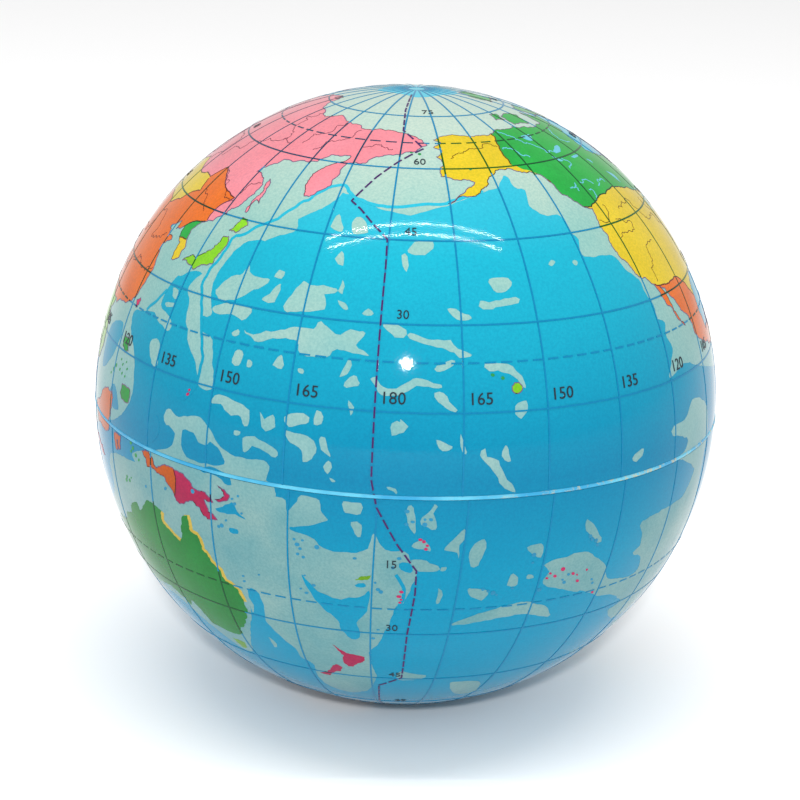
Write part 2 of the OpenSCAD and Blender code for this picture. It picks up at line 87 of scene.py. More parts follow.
class Recipe:
    """The node tree of one finish."""

    def __init__(self, name):
        self.material = bpy.data.materials.new(name)
        self.material.use_nodes = True
        self.tree = self.material.node_tree
        self.tree.nodes.clear()
        self.place = self.add("ShaderNodeTexCoord", {}, {}, "Object")

    def add(self, kind, settings, sockets, result=0):
        """A node of a kind: its settings are set first, then its sockets get values or wires."""
        node = self.tree.nodes.new(kind)
        for name, value in settings.items():
            if name == "stops":
                for spare in range(len(value) - 2):
                    node.color_ramp.elements.new(0.5)
                for element, (position, colour) in zip(node.color_ramp.elements, value):
                    element.position, element.color = position, colour
            else:
                setattr(node, name, value)
        for name, value in sockets.items():
            if isinstance(value, Wire):
                self.tree.links.new(value.socket, node.inputs[name])
            else:
                node.inputs[name].default_value = value
        return Wire(self, node.outputs[result]) if len(node.outputs) else None

    def grain(self, size, detail=2.0, roughness=0.5):
        """Cloudy noise whose blots are about size metres across."""
        sockets = {"Vector": self.place, "Scale": 1 / size, "Detail": detail, "Roughness": roughness}
        return self.add("ShaderNodeTexNoise", {}, sockets)

    def between(self, value, low, high):
        """0 where the value is low or less, 1 where it is high or more."""
        sockets = {"Value": value, "From Min": low, "From Max": high}
        return self.add("ShaderNodeMapRange", {"clamp": True}, sockets)

    def along(self, axis):
        """How far a point lies along an axis of the ball."""
        return self.add("ShaderNodeSeparateXYZ", {}, {0: self.place}, axis)

    def height(self):
        """0 at the southern pole of the ball and 1 at the northern one."""
        return self.along("Z") / (2 * BALL_R) + 0.5

    def tones(self, stops):
        """Colours in turn from the southern pole to the northern one: painted light and shade that changes
        with height.
        """
        return self.add("ShaderNodeValToRGB", {"stops": stops}, {0: self.height()})

    def blend(self, share, under, over, mode="MIX"):
        """One colour laid over another, by a share. A Mix node's colour sockets are 6 and 7."""
        settings = {"data_type": "RGBA", "blend_type": mode}
        return self.add("ShaderNodeMix", settings, {0: share, 6: under, 7: over}, 2)

    def bump(self, height, distance, strength):
        sockets = {"Height": height, "Distance": distance, "Strength": strength}
        return self.add("ShaderNodeBump", {}, sockets)

    def surface(self, **sockets):
        """The finished surface. An underscore stands for the space in a socket's name."""
        named = {name.replace("_", " "): value for name, value in sockets.items()}
        shader = self.add("ShaderNodeBsdfPrincipled", {}, named)
        self.add("ShaderNodeOutputMaterial", {}, {"Surface": shader})
        return self.material


def colour(code, strength=1.0):
    """The light that a colour code such as 2fc4ea stands for."""
    parts = [int(code[i : i + 2], 16) / 255 for i in (0, 2, 4)]
    linear = [p / 12.92 if p <= 0.04045 else ((p + 0.055) / 1.055) ** 2.4 for p in parts]
    return (*(strength * p for p in linear), 1.0)


def foam_finish():
    """Cream foam: matt, full of small round cells."""
    recipe = Recipe("foam")
    cells = recipe.add("ShaderNodeTexVoronoi", {}, {"Vector": recipe.place, "Scale": 1 / (0.4 * MM)})
    tint = recipe.blend(recipe.grain(6 * MM), colour("f3e6c4"), colour("dcc694"))
    return recipe.surface(
        Base_Color=recipe.blend(recipe.between(cells, 0.2, 0.9), tint, colour("fff6dc")),
        Roughness=0.85,
        Normal=recipe.bump(cells, 0.1 * MM, 0.8),
    )


def round_shading(data):
    """Gives the faces that follow the ball its own normals, so that its facets don't show."""
    points = np.empty(len(data.vertices) * 3)
    data.vertices.foreach_get("co", points)
    corners = np.empty(len(data.loops), int)
    data.loops.foreach_get("vertex_index", corners)
    sizes = np.empty(len(data.polygons), int)
    data.polygons.foreach_get("loop_total", sizes)
    flat = np.empty(len(data.polygons) * 3)
    data.polygons.foreach_get("normal", flat)
    flat = np.repeat(flat.reshape(-1, 3), sizes, axis=0)
    outward = points.reshape(-1, 3)[corners]
    outward /= np.linalg.norm(outward, axis=1)[:, None]
    facing = (flat * outward).sum(1)[:, None]
    normals = np.where(abs(facing) > 0.7, np.sign(facing) * outward, flat)
    data.normals_split_custom_set(normals.tolist())


def make_piece(form, name, finish):
    """A closed form made into an object, with its place in its mesh."""
    bmesh.ops.recalc_face_normals(form, faces=form.faces[:])
    data = bpy.data.meshes.new(name)
    form.to_mesh(data)
    form.free()
    data.shade_smooth()
    data.materials.append(finish)
    round_shading(data)
    piece = bpy.data.objects.new(name, data)
    bpy.context.scene.collection.objects.link(piece)
    return piece


def mount(piece, body, slot, *nodes):
    """Fixes a piece to its half of the ball."""
    pole = BALL_R if body == "north_half" else -BALL_R
    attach(piece, body)
    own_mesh(piece)
    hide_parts(*nodes)


core = bmesh.new()
bmesh.ops.create_icosphere(core, subdivisions=7, radius=CORE_R)
for vert in core.verts:
    nearest = noise.voronoi(vert.co / FOAM_CELL)[0][0]
    vert.co *= 1 - FOAM_DENT * max(0, 1 - 2 * nearest) / CORE_R
foam = make_piece(core, "foam_core_cells", foam_finish())
mount(foam, "south_half", "foam_core", "foam_core")


# ---- Skin ----
# The foam that touches the mould doesn't rise: it sets as a tough, closed skin about 1 mm thick,
# and it is what springs back. The mould parts at the equator, so each half has its own.
SKIN_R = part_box("north_skin")[1].z
SKIN_IN = CORE_R + 0.05 * MM
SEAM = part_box("parting_rib")[1].z
HALVES = {"north": 1, "south": -1}


def half_of(form, radius, sign):
    """Keeps what lies beyond the parting line on one side, with its cut edge on the sphere."""
    bmesh.ops.bisect_plane(
        form,
        geom=form.verts[:] + form.edges[:] + form.faces[:],
        plane_co=(0, 0, sign * SEAM),
        plane_no=(0, 0, sign),
        clear_inner=True,
    )
    for vert in form.verts:
        if abs(vert.co.z - sign * SEAM) < 0.001 * MM:
            vert.co.xy *= math.sqrt(radius**2 - SEAM**2) / vert.co.xy.length
            vert.co.z = sign * SEAM


def thicken(form, radius, depth):
    """Closes a sheet that lies on the ball into a solid that goes in by depth."""
    lining = bmesh.ops.extrude_face_region(form, geom=form.faces[:], use_keep_orig=True)
    inner = [item for item in lining["geom"] if isinstance(item, bmesh.types.BMVert)]
    for vert in inner:
        vert.co *= (radius - depth) / radius


def half_shell(radius, depth, sign):
    shell = bmesh.new()
    bmesh.ops.create_icosphere(shell, subdivisions=7, radius=radius)
    half_of(shell, radius, sign)
    thicken(shell, radius, depth)
    return shell


def skin_finish():
    recipe = Recipe("foam_skin")
    pores = recipe.grain(0.5 * MM, 3)
    tint = recipe.blend(recipe.grain(9 * MM), colour("efe4c8"), colour("e2d2a8"))
    return recipe.surface(
        Base_Color=tint, Roughness=0.45 + 0.2 * pores, Normal=recipe.bump(pores, 0.05 * MM, 0.5)
    )


skin_paint = skin_finish()
for half, sign in HALVES.items():
    skin = make_piece(half_shell(SKIN_R, SKIN_R - SKIN_IN, sign), f"{half}_tough_skin", skin_paint)
    mount(skin, f"{half}_half", "foam_skin", f"{half}_skin")


# ---- Transfer film ----
# A blue film carries the print. It comes as flat gores that are heated and drawn over each half,
# which is why the map is pulled a little towards the equator.
FILM_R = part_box("north_film")[1].z


def film_finish():
    recipe = Recipe("blue_film")
    cloud = recipe.grain(8 * MM, 3)
    tint = recipe.blend(cloud, colour("2a9fd8"), colour("1f8fcb"))
    return recipe.surface(
        Base_Color=tint, Roughness=0.35 + 0.1 * cloud, Normal=recipe.bump(cloud, 0.02 * MM, 0.3)
    )


film_paint = film_finish()
for half, sign in HALVES.items():
    film = make_piece(half_shell(FILM_R, FILM_R - SKIN_R, sign), f"{half}_print_film", film_paint)
    mount(film, f"{half}_half", "print_blue", f"{half}_film")


# ---- Sea ----
# Process blue, printed solid over each half. Its gloss is soft and pebbled, because the film has
# taken up the mould's fine orange peel, and the ink lies a little unevenly on it. Its blue is
# painted paler towards the top and darker lower down: painted light and shade.
PEEL = 0.24 * MM
PEEL_DEPTH = 0.03 * MM
GLOSS = 1.23
MOTTLE = 0.3 * MM
MOTTLE_TINT = (0.35, 0.6, 0.7, 1)
# The sea's blue from the bottom up, with painted light and shade: paler towards the top where the light
# falls, darker lower down.
SEA_TOP_PAINTED_LIGHT = colour("3eb4c6")
SEA_HIGH_PAINTED_LIGHT = colour("159eb3")
SEA_MIDDLE_PAINTED_SHADE = colour("007598")
SEA_LOW_PAINTED_SHADE = colour("0084a5")


def pebbled(recipe):
    """The height of the orange peel that every ink shares."""
    return recipe.grain(PEEL, 0.4) + 0.35 * recipe.grain(3 * PEEL, 0.0)


def inked_surface(recipe, tint):
    """Ink on the pebbled film: a wet gloss, and a fine mottle where the ink lies thicker."""
    mottle = recipe.between(recipe.grain(MOTTLE, 2, 0.7), 0.35, 0.65)
    return recipe.surface(
        Base_Color=recipe.blend(0.32 * mottle, tint, MOTTLE_TINT, "MULTIPLY"),
        Roughness=0.03 + 0.05 * mottle,
        IOR=GLOSS,
        Normal=recipe.bump(pebbled(recipe), PEEL_DEPTH, 0.08),
    )


def sea_finish():
    recipe = Recipe("sea_blue")
    # The blue changes with height: painted light and shade, paler on top and darker below.
    tones = recipe.tones(
        [(0.0, SEA_LOW_PAINTED_SHADE), (0.38, SEA_LOW_PAINTED_SHADE), (0.52, SEA_MIDDLE_PAINTED_SHADE), (0.82, SEA_HIGH_PAINTED_LIGHT), (1.0, SEA_TOP_PAINTED_LIGHT)]
    )
    cloud = recipe.between(recipe.grain(11 * MM, 3), 0.3, 0.7)
    return inked_surface(recipe, recipe.blend(0.10 * cloud, tones, colour("006a96")))


sea_paint = sea_finish()
for half, sign in HALVES.items():
    sea = make_piece(half_shell(BALL_R, BALL_R - FILM_R, sign), f"{half}_sea_print", sea_paint)
    mount(sea, f"{half}_half", "print_blue", f"{half}_sea")


# ---- Parting rib ----
# The bead of foam that squeezes out where the mould halves meet, trimmed to a low round ridge.
# The film's edges end at it, so it shows pale, with scuffs and a burr where the trimmer slipped.
RIB_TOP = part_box("parting_rib")[1].x
RIB_WAVE = 0.02 * MM


def rib_finish():
    recipe = Recipe("rib_foam")
    patches = recipe.between(recipe.grain(7 * MM, 3, 0.6), 0.4, 0.6)
    flecks = recipe.between(recipe.grain(0.9 * MM, 4, 0.7), 0.52, 0.6)
    side = recipe.between(recipe.along("X"), 0.2 * RIB_TOP, 0.6 * RIB_TOP)
    trimmed = recipe.blend(patches, colour("1490bd"), colour("4fb0cc"))
    tint = recipe.blend(0.75 * flecks * side, trimmed, colour("b3a878"))
    return recipe.surface(
        Base_Color=tint, Roughness=0.35, Normal=recipe.bump(recipe.grain(0.4 * MM, 3), 0.04 * MM, 0.5)
    )


rib = bmesh.new()
outline = [(SKIN_IN, -SEAM), (SKIN_IN, SEAM)]
for step in range(13):
    angle = math.radians(90 - 15 * step)
    outline.append((RIB_TOP - SEAM + SEAM * math.cos(angle), SEAM * math.sin(angle)))
corners = [rib.verts.new((radius, 0, height)) for radius, height in outline]
sides = [rib.edges.new(pair) for pair in zip(corners, corners[1:] + corners[:1])]
bmesh.ops.spin(
    rib, geom=corners + sides, cent=(0, 0, 0), axis=(0, 0, 1), angle=math.tau, steps=480, use_merge=True
)
for vert in rib.verts:
    if vert.co.xy.length > BALL_R - 0.1 * MM:
        swell = noise.noise(vert.co * 0.4 / MM)
        vert.co.xy *= 1 + (swell - 1) * RIB_WAVE / BALL_R
ridge = make_piece(rib, "parting_rib_bead", rib_finish())
mount(ridge, "south_half", "print_pale", "parting_rib")


# ---- Shallow seas ----
# A pale tint of the same blue stands for the shelves, banks and ridges under the sea. On the real
# ball the blue is knocked out round them, so their edges are soft and blobby.
SHELF_R = BALL_R + 0.012 * MM
PLATE_STEP = 0.004 * MM
INK_DEPTH = 0.06 * MM
NORTH_DRAW = 1.7
SOUTH_DRAW = 2.4
UP = Vector((0, 0, 1))
SOFT_STEP = 0.5 * MM / BALL_R
WOBBLE = 0.006
WOBBLE_CLOSE = 45
FILL_STEP = 1.1 * MM / BALL_R
# The pale tint from the bottom up, with painted light and shade: darker low on the ball, paler towards the
# top.
SHELF_LOW_PAINTED_SHADE = colour("5f8f93")
SHELF_MIDDLE_PAINTED_SHADE = colour("74a0a0")
SHELF_HIGH_PAINTED_LIGHT = colour("83aca3")
SHELF_TOP_PAINTED_LIGHT = colour("a8bbae")


def drawn(lon, lat):
    """A map point on a ball of radius 1, drawn towards the equator as the film was."""
    pull = NORTH_DRAW if lat > 0 else SOUTH_DRAW
    east = math.radians(lon + 90)
    up = math.radians(lat - pull * math.sin(math.radians(2 * lat)))
    return Vector((math.cos(up) * math.cos(east), math.cos(up) * math.sin(east), math.sin(up)))


noise.seed_set(3)


def softened(points):
    """A closed line that bends smoothly through map points, with a slight wobble."""
    ring = [drawn(*p) for p in points]
    line = []
    for i, here in enumerate(ring):
        before, after, beyond = ring[i - 1], ring[(i + 1) % len(ring)], ring[(i + 2) % len(ring)]
        steps = max(2, round((after - here).length / SOFT_STEP))
        for step in range(steps):
            t = step / steps
            spot = (
                2 * here
                + (after - before) * t
                + (2 * before - 5 * here + 4 * after - beyond) * t**2
                + (3 * here - before - 3 * after + beyond) * t**3
            ) / 2
            wobble = noise.noise_vector(spot * WOBBLE_CLOSE) * WOBBLE
            line.append((spot + wobble).normalized())
    return line


class Chart:
    """A flat chart of the ball with true angles, drawn about the middle of a line."""

    def __init__(self, line):
        middle = sum(line, Vector()).normalized()
        self.turn = np.array(middle.rotation_difference(UP).to_matrix())

    def flat(self, line):
        spots = np.asarray(line) @ self.turn.T
        return 2 * spots[:, :2] / (1 + spots[:, 2:])

    def lifted(self, spots):
        reach = (spots**2).sum(1)[:, None]
        return np.hstack([4 * spots, 4 - reach]) / (4 + reach) @ self.turn


def inside(spots, loop):
    """Which flat spots lie inside a closed flat loop."""
    x, y = spots[:, 0], spots[:, 1]
    within = np.zeros(len(spots), bool)
    for (x0, y0), (x1, y1) in zip(loop, np.roll(loop, -1, axis=0)):
        if y0 != y1:
            within ^= ((y0 > y) != (y1 > y)) & (x < x0 + (x1 - x0) * (y - y0) / (y1 - y0))
    return within


def meshed(loops):
    """Triangles over everything inside the first flat loop, with every loop among their edges."""
    edges, count = [], 0
    for loop in loops:
        edges += [(count + i, count + (i + 1) % len(loop)) for i in range(len(loop))]
        count += len(loop)
    low, high = loops[0].min(0), loops[0].max(0)
    rows = np.arange(low[1], high[1], FILL_STEP * 0.87)
    columns = np.arange(low[0], high[0], FILL_STEP)
    lattice = [(x + i % 2 * FILL_STEP / 2, y) for i, y in enumerate(rows) for x in columns]
    if lattice:
        lattice = np.array(lattice)[inside(np.array(lattice), loops[0])]
    spots = [Vector(spot) for loop in loops for spot in loop] + [Vector(spot) for spot in lattice]
    spots, _, faces, _, _, _ = delaunay_2d_cdt(spots, edges, [], 0, 1e-7)
    spots = np.array([tuple(spot) for spot in spots])
    faces = np.array(faces)
    return spots, faces[inside(spots[faces].mean(1), loops[0])]


def lay(form, spots, faces):
    """Adds triangles whose corners are given on the ball of radius 1."""
    used = {index: form.verts.new(spots[index]) for index in np.unique(faces)}
    for face in faces:
        form.faces.new([used[index] for index in face])


def print_both(form, name, radius, finish, slot, node=None, tint=None):
    """Splits a printed sheet at the parting line into its two halves' pieces."""
    for half, sign in HALVES.items():
        sheet = form.copy()
        for vert in sheet.verts:
            vert.co = vert.co.normalized() * radius
        half_of(sheet, radius, sign)
        if sheet.faces:
            thicken(sheet, radius, INK_DEPTH)
            piece = make_piece(sheet, f"{half}_{name}", finish)
            mount(piece, f"{half}_half", slot, *([f"{half}_{node}"] if node else []))
            if tint:
                tint(piece.data)
        else:
            sheet.free()
    form.free()


SHELVES = [
    # Arctic Ocean
    [(lon, 65 if 20 < lon < 270 else 72) for lon in range(0, 360, 20)],
    # Bering Sea and the shallows under the Aleutians
    [(160, 61), (164, 54.5), (169, 53), (174.5, 51.5), (179.5, 50.5), (185, 50), (189.5, 51), (194, 52),
     (198, 53), (204.5, 54.5), (209.5, 55.5), (213.5, 58), (215, 60), (200, 64), (192, 69), (182, 70),
     (172, 66)],
    # Seas of the Far East
    [(166, 55), (164, 51.5), (160.5, 49), (157, 47), (158, 45.8), (157, 44.5), (154.5, 43.5), (151, 42),
     (149, 42), (145.5, 40), (144, 37.5), (143, 34.5), (142.5, 32), (139, 33.5), (135.5, 33.5),
     (133.5, 32), (131.5, 31), (130.5, 27), (131.5, 25.5), (135, 24.5), (136, 22.5), (133.5, 22.5),
     (129, 24), (122, 22.5), (123.5, 19), (127, 15.5), (129, 9.5), (126, 4), (118, 0), (104, -4),
     (98, 4), (104, 14), (108, 24), (116, 34), (124, 48), (134, 58), (150, 62), (162, 62)],
    # Ridge of the Marianas
    [(137, 30), (137.5, 32), (139, 33.5), (141.5, 34.5), (144, 30), (145.5, 27), (143, 26.5), (145, 24),
     (147.5, 23), (148.5, 20), (150, 15), (147, 14.5), (146, 16.5), (144.5, 19), (142, 21.5),
     (141, 23.5), (139.5, 25.5), (139, 28)],
    # Micronesia
    [(130, -3), (138, 0.5), (141.5, 2), (142.5, 5), (139.5, 6.5), (140.5, 9), (142.5, 8), (146, 9),
     (148.5, 9), (150.5, 7.5), (151, 7), (153.5, 4.5), (156, 4), (158.5, 4), (162, 4), (162.5, 2.5),
     (162, 0.5), (164, -2), (160, -5), (140, -6)],
    # Oceania, Australia and New Zealand
    [(120, -6), (140, -3), (150, -2), (162, 0.5), (164, -2), (165.5, -2.5), (166, -4.5), (167.5, -2.5),
     (168.5, -1), (171.5, -1.5), (171.5, -3.5), (173, -5), (170.5, -6.5), (166, -8), (170, -9),
     (171.5, -10.5), (174, -11.5), (179, -11), (180, -9.5), (180.5, -7), (182, -9.5), (183.5, -10.5),
     (186, -10.5), (187, -12.5), (188, -14.5), (187.5, -17.5), (186, -22), (184.5, -23.5), (183.5, -29),
     (182, -32.5), (179.5, -36), (180, -40.5), (180.5, -45), (177, -52.5), (170.5, -54.5), (166, -51),
     (165.5, -46.5), (166, -42.5), (163.5, -40.5), (163, -38), (160.5, -34.5), (158.5, -31), (159, -27),
     (158.3, -23.5), (156.5, -23.5), (155.3, -30), (151.5, -38.5), (148.5, -44), (145, -44), (140, -40),
     (130, -34), (113, -37), (110, -22), (118, -14)],
    # Shelf off the west of North America
    [(209.5, 55.5), (213.5, 58), (215, 57.5), (215, 55.5), (218, 54.5), (217, 52), (217.5, 50.5),
     (220, 49), (224.5, 48.5), (225, 45), (226.5, 43.5), (225, 41), (227, 40), (234, 39.5), (236, 36.5),
     (239, 34), (239, 32), (240.5, 29), (240, 26.5), (242.5, 25.5), (241.5, 23.5), (242.5, 20.5),
     (241, 18), (239.5, 15.5), (246, 17), (252, 15), (262, 12), (272, 9), (278, 5), (281, 9), (262, 22),
     (240, 45), (222, 62)],
    # Rise of the eastern Pacific
    [(211, -15), (213, -14), (219, -13.5), (222, -15.5), (225, -18), (226.5, -21), (230, -22.5),
     (234, -23), (236, -22), (235, -19), (232, -17), (233.5, -16), (233, -13), (232, -10.5),
     (238.5, -9.5), (245.5, -9), (248.5, -6), (249, -4.5), (245.5, -2), (241.5, 0), (244, 1),
     (244.5, 3), (239, 5), (239.5, 6.5), (244, 7), (247, 9.5), (252, 8.5), (256, 4), (254, -6),
     (256, -20), (250, -34), (240, -36), (233, -32), (235.5, -30), (230.5, -26.5), (226, -25.5),
     (221.5, -23), (219, -22.5), (212.5, -20), (211.5, -18.5), (212, -16.5)],
]

# Banks and seamounts of the northern Pacific, each a closed line round it
BANKS = [
    [(167, 49), (169, 46), (166, 46.5)],
    [(171.5, 49), (174, 48), (175, 46), (171.5, 45.5), (171, 47)],
    [(170, 42), (171, 41), (171, 39.5), (169, 40.5)],
    [(145.5, 30.5), (144.5, 31.5), (147, 34.5), (149.5, 35.5), (150, 37), (151.5, 35.5), (156, 35.5),
     (155, 34), (152.5, 32.5), (150.5, 31), (147, 30)],
    [(157, 36), (157.5, 37.5), (159, 37), (158.5, 36)],
    [(156, 32), (157.5, 33.5), (158.5, 35), (159, 34.5), (158.5, 31.5), (156.5, 31.5)],
    [(161, 30.5), (161, 32), (162.5, 34.5), (163.5, 36), (165, 35.5), (170.5, 35.5), (170.5, 34.5),
     (168.5, 34), (169, 31.5), (163.5, 30.5)],
    [(171.5, 37), (172, 36), (172, 34.5), (171, 35)],
    [(171.5, 33.5), (173, 33), (173.5, 32), (172.5, 32)],
    [(176.5, 31.5), (177.5, 32.5), (178.5, 31.5), (177.5, 31)],
    [(145.5, 28.5), (146, 27.5), (151, 28), (153, 27.5), (154.5, 29), (153, 30), (147.5, 29.5)],
    [(151.5, 25), (152.5, 25.8), (153, 25), (152.2, 24.5)],
    [(154, 26), (156, 25.5), (159.5, 26.5), (164.5, 28), (167.5, 28), (169, 29.5), (171, 28),
     (173, 27.5), (174.5, 28.5), (177.5, 28), (176, 26), (178.5, 24.5), (175.5, 24.5), (172.5, 25),
     (170.5, 23.5), (166, 23.5), (165, 25.5), (161, 25.5), (157.5, 24.5), (155.5, 25)],
    [(154, 22.5), (155, 22), (154.5, 19.5), (153, 20), (153, 22)],
    [(156, 21), (157, 21), (157, 20), (156, 20)],
    [(162.5, 23), (163, 22), (163, 20.5), (161, 21)],
    [(166, 21), (167, 21), (167, 20.3), (166, 20.3)],
    [(173.5, 20.5), (174.5, 22.5), (175, 23.5), (175.5, 22.5), (175, 21)],
    [(174.5, 19), (176, 21), (177, 20), (177, 19)],
    [(131.5, 19), (134, 20), (135, 18), (135, 15.5), (133.5, 15.5)],
    [(132.5, 29.5), (134, 29.5), (135, 28), (133.5, 28)],
    [(132, 26.5), (134.5, 27), (135, 26.5), (133, 26)],
    # Marshall and Gilbert Islands
    [(150, 12.5), (151.5, 14), (155, 13.5), (158, 12.5), (158, 9.5), (157, 10), (156.5, 11),
     (154.5, 11), (152, 12.5)],
    [(160, 12.5), (161, 11.5), (162.5, 12.5), (163, 10.5), (161.5, 9.5), (160.5, 11)],
    [(155.5, 8.5), (156.5, 8.5), (156.5, 7.8), (155.5, 7.8)],
    [(157.5, 7.5), (159.5, 8), (162, 7), (164, 6), (163.5, 5), (161.5, 6), (159, 6.5), (158.5, 5.5),
     (157.5, 5)],
    [(170, 14.5), (171.5, 13.5), (171, 12), (170, 12)],
    [(164.5, 12.5), (168, 13.5), (169, 12), (165.5, 11)],
    [(165, 10), (167.5, 10), (170, 9), (170.5, 7), (170, 5.5), (168.5, 5), (168, 7), (165.5, 8.5)],
    [(171, 9.5), (172, 9.5), (173, 7), (173, 6.5), (171.5, 7.5)],
    [(172, 4.7), (172.7, 5.8), (173.4, 4.7), (172.7, 3.5)],
    [(173, 2.8), (174, 2.5), (173.5, 2)],
    [(175.5, 16.5), (176.5, 15.5), (176, 14)],
    [(182.5, 2), (184, 1.5), (184, 0.6)],
    [(183, 13), (184.5, 13.5), (184.5, 11.5), (183, 11)],
    # Line Islands
    [(190, 18.5), (191.5, 18.5), (192.5, 17), (194, 15.5), (192.5, 15.5), (190.5, 17)],
    [(184.5, 14), (185.5, 12.5), (184.5, 11.5)],
    [(190.5, 10.5), (193, 9.5), (192.5, 8.5), (191.5, 8.5)],
    [(194.5, 11.5), (195, 10.5), (195.5, 8.5), (195, 8), (194.5, 10)],
    [(197.5, 7.5), (198.5, 9), (199, 7.5), (201, 6.5), (202, 4), (203.5, 2), (204, 0.6), (201.5, 2),
     (201, 3.5), (199.5, 5.5)],
    [(202, 9), (202.5, 8.5), (203, 6.5), (202, 6.5), (201.5, 8)],
    [(204, 16), (206, 16.5), (206, 15), (205, 13.5), (204, 14.5)],
    [(227.5, 3.5), (229, 4.5), (230.5, 4.5), (230, 3.5), (228.5, 2.5)],
    # Kiribati, Tuvalu, Tokelau and the Cook Islands
    [(155.8, -25.3), (156.8, -27.5), (156, -29.5)],
    [(157.5, -36), (158.6, -38), (157.6, -39)],
    [(175.5, -1.5), (178.5, -1.5), (178.5, -3.5), (176, -3.5)],
    [(177, -5), (178.5, -5.5), (178.5, -8), (177.5, -7.5)],
    [(186, -1.5), (187, -2), (187.5, -5), (187.5, -7), (186, -4.5)],
    [(188.5, -3.5), (190, -2), (190.5, -1), (191, -1.5), (190.5, -3), (191, -6), (189.5, -5.5),
     (188.5, -5)],
    [(187, -9.5), (188.5, -8), (190, -9.5), (190, -10.5), (189, -10)],
    [(187, -12), (189.5, -12.5), (191.5, -13.5), (191.5, -14.5), (188.5, -14.5), (187.5, -13.5)],
    [(192, -13.6), (193, -13.6), (193, -14.4), (192, -14.4)],
    [(192.5, -10), (194, -8), (195.5, -6), (196, -7.5), (195, -9), (195, -12), (194.5, -10.5)],
    [(197, -10), (198.5, -8), (199.5, -8.5), (199.5, -10), (198.5, -13.5), (197, -13.5)],
    [(207, -10.5), (208.5, -10), (209.5, -10), (210, -11), (210, -13), (208.5, -12.5)],
    [(205, -16), (206.5, -17), (206, -19), (204.5, -18.5), (204.5, -17)],
    [(208, -16.5), (209, -16.5), (209.3, -17.4), (208, -17.5)],
    [(218, -7), (219, -7), (222, -11), (221.5, -12), (218.5, -9)],
    [(197.5, -18.5), (201, -19.5), (200, -21.5), (197.5, -20)],
    [(192, -18.5), (193, -20), (192, -22)],
    [(195.5, -27.5), (200, -25), (207, -23), (208.5, -23), (213.5, -25), (215, -28), (208, -26)],
    [(186, -42), (189, -43), (192, -43.5), (191, -45), (186, -45.5)],
    [(199, -47.5), (206.5, -48), (208.5, -51.5), (208, -55), (202.5, -54)],
    # Hawaiian ridge and the Mendocino rises
    [(184.5, 43), (186, 44.5), (190, 45), (190, 43.5), (188, 42.5), (185.5, 42.5)],
    [(183, 42), (184.5, 42), (184.5, 39.5), (184, 39.5)],
    [(201.5, 38), (205.5, 38), (206, 36.5), (203.5, 35.5), (202, 36)],
    [(199, 34), (202, 34), (206.5, 34.5), (206.5, 33.5), (203, 33), (199.5, 32.5)],
    [(192.5, 33), (195, 32.5), (197, 31.5), (196.5, 31), (194, 31)],
    [(215.5, 40), (216.5, 40.6), (217.5, 40), (216.5, 39.4)],
    [(221.8, 39.5), (222.5, 40), (223.2, 39.5), (222.5, 39)],
    [(180.3, 30), (184, 29.6), (184.8, 28.2), (183, 27.8)],
    [(185.5, 28.5), (190.5, 27.5), (193, 27.5), (194, 26), (196.5, 25), (194.5, 24.5), (192, 26),
     (189.5, 26.5), (185.5, 27.5)],
    [(190, 22.5), (191.5, 23.5), (193.5, 24), (193, 23), (191, 22)],
    [(179, 20.5), (180, 21), (180.5, 19.5), (183, 19), (187, 20.8), (191, 19.8), (190.5, 19.2),
     (187, 19.6), (184, 18), (181, 18)],
    [(199, 23.5), (199.5, 22), (202, 22), (204, 21), (206, 19), (205.5, 21), (203, 23)],
]

# Deep basins that the blue keeps inside the shelves
BASINS = [
    [(30, 84.5), (100, 83.5), (150, 85), (190, 83.5), (230, 84.5), (270, 83), (320, 85)],
    [(144.5, 6), (147, 6), (148.5, 4.5), (150, 4.5), (151, 5.5), (153, 4), (154, 2.5), (153, 1.5),
     (147.5, 1), (144.5, 2.5)],
    [(134, 3), (137, 7), (138.5, 4), (136, 1.5)],
    [(168, -17.5), (170.5, -20.5), (174, -22), (176.5, -21.5), (178.5, -21), (180, -19.5), (180, -22),
     (179, -25), (177.5, -27.5), (178, -30.5), (177.5, -32), (176, -32), (174.5, -30), (174, -27.5),
     (172.5, -26), (170, -23)],
    [(149, 0), (151.5, 0.9), (155, 0), (155.5, -1.5), (154, -1.6), (152.5, -0.6), (149, -0.6)],
    [(152, -7), (154, -6), (155.5, -5), (156.5, -6.5), (158, -8), (156, -7.2), (154.5, -7.8),
     (153, -7.6)],
    [(154.5, -10.4), (156.2, -10.4), (156.2, -11.3), (154.5, -11.3)],
    [(177.5, -18.4), (179, -17.6), (179.3, -18.4), (178.3, -18.8)],
    [(185, -13), (187, -13), (187.5, -14), (187, -15), (185.5, -14.5)],
    [(112, 17), (119, 19), (118, 13), (112, 9)],
    [(121, 8), (119, 6.5), (120, 4), (124, 4), (122.5, 7)],
]

# The long trenches between the islands and the ocean, which the blue plate draws as fine lines
TRENCHES = [
    [(144, 25), (143, 27), (141.5, 29.5), (140.5, 31.5), (140.5, 33.5), (141, 35.5), (142, 38),
     (142.5, 41), (145, 42.5), (148, 44.5), (151.5, 46.5), (155.5, 50), (159, 52.5), (162, 54.5),
     (165, 55.3), (167.5, 54), (169.5, 52.7), (173, 52), (176.5, 51.5), (181.5, 51.5), (187, 52),
     (194, 52.5), (205, 55)],
    [(144, 25), (145.5, 22), (146.5, 18), (146, 14.5), (143.5, 11.5), (141, 11)],
    [(126.5, 24), (129, 26.5), (131, 29)],
    [(184.5, -15.5), (186, -19), (185, -24), (183, -30), (181, -35)],
]
TRENCH_W = 0.42 * MM / BALL_R

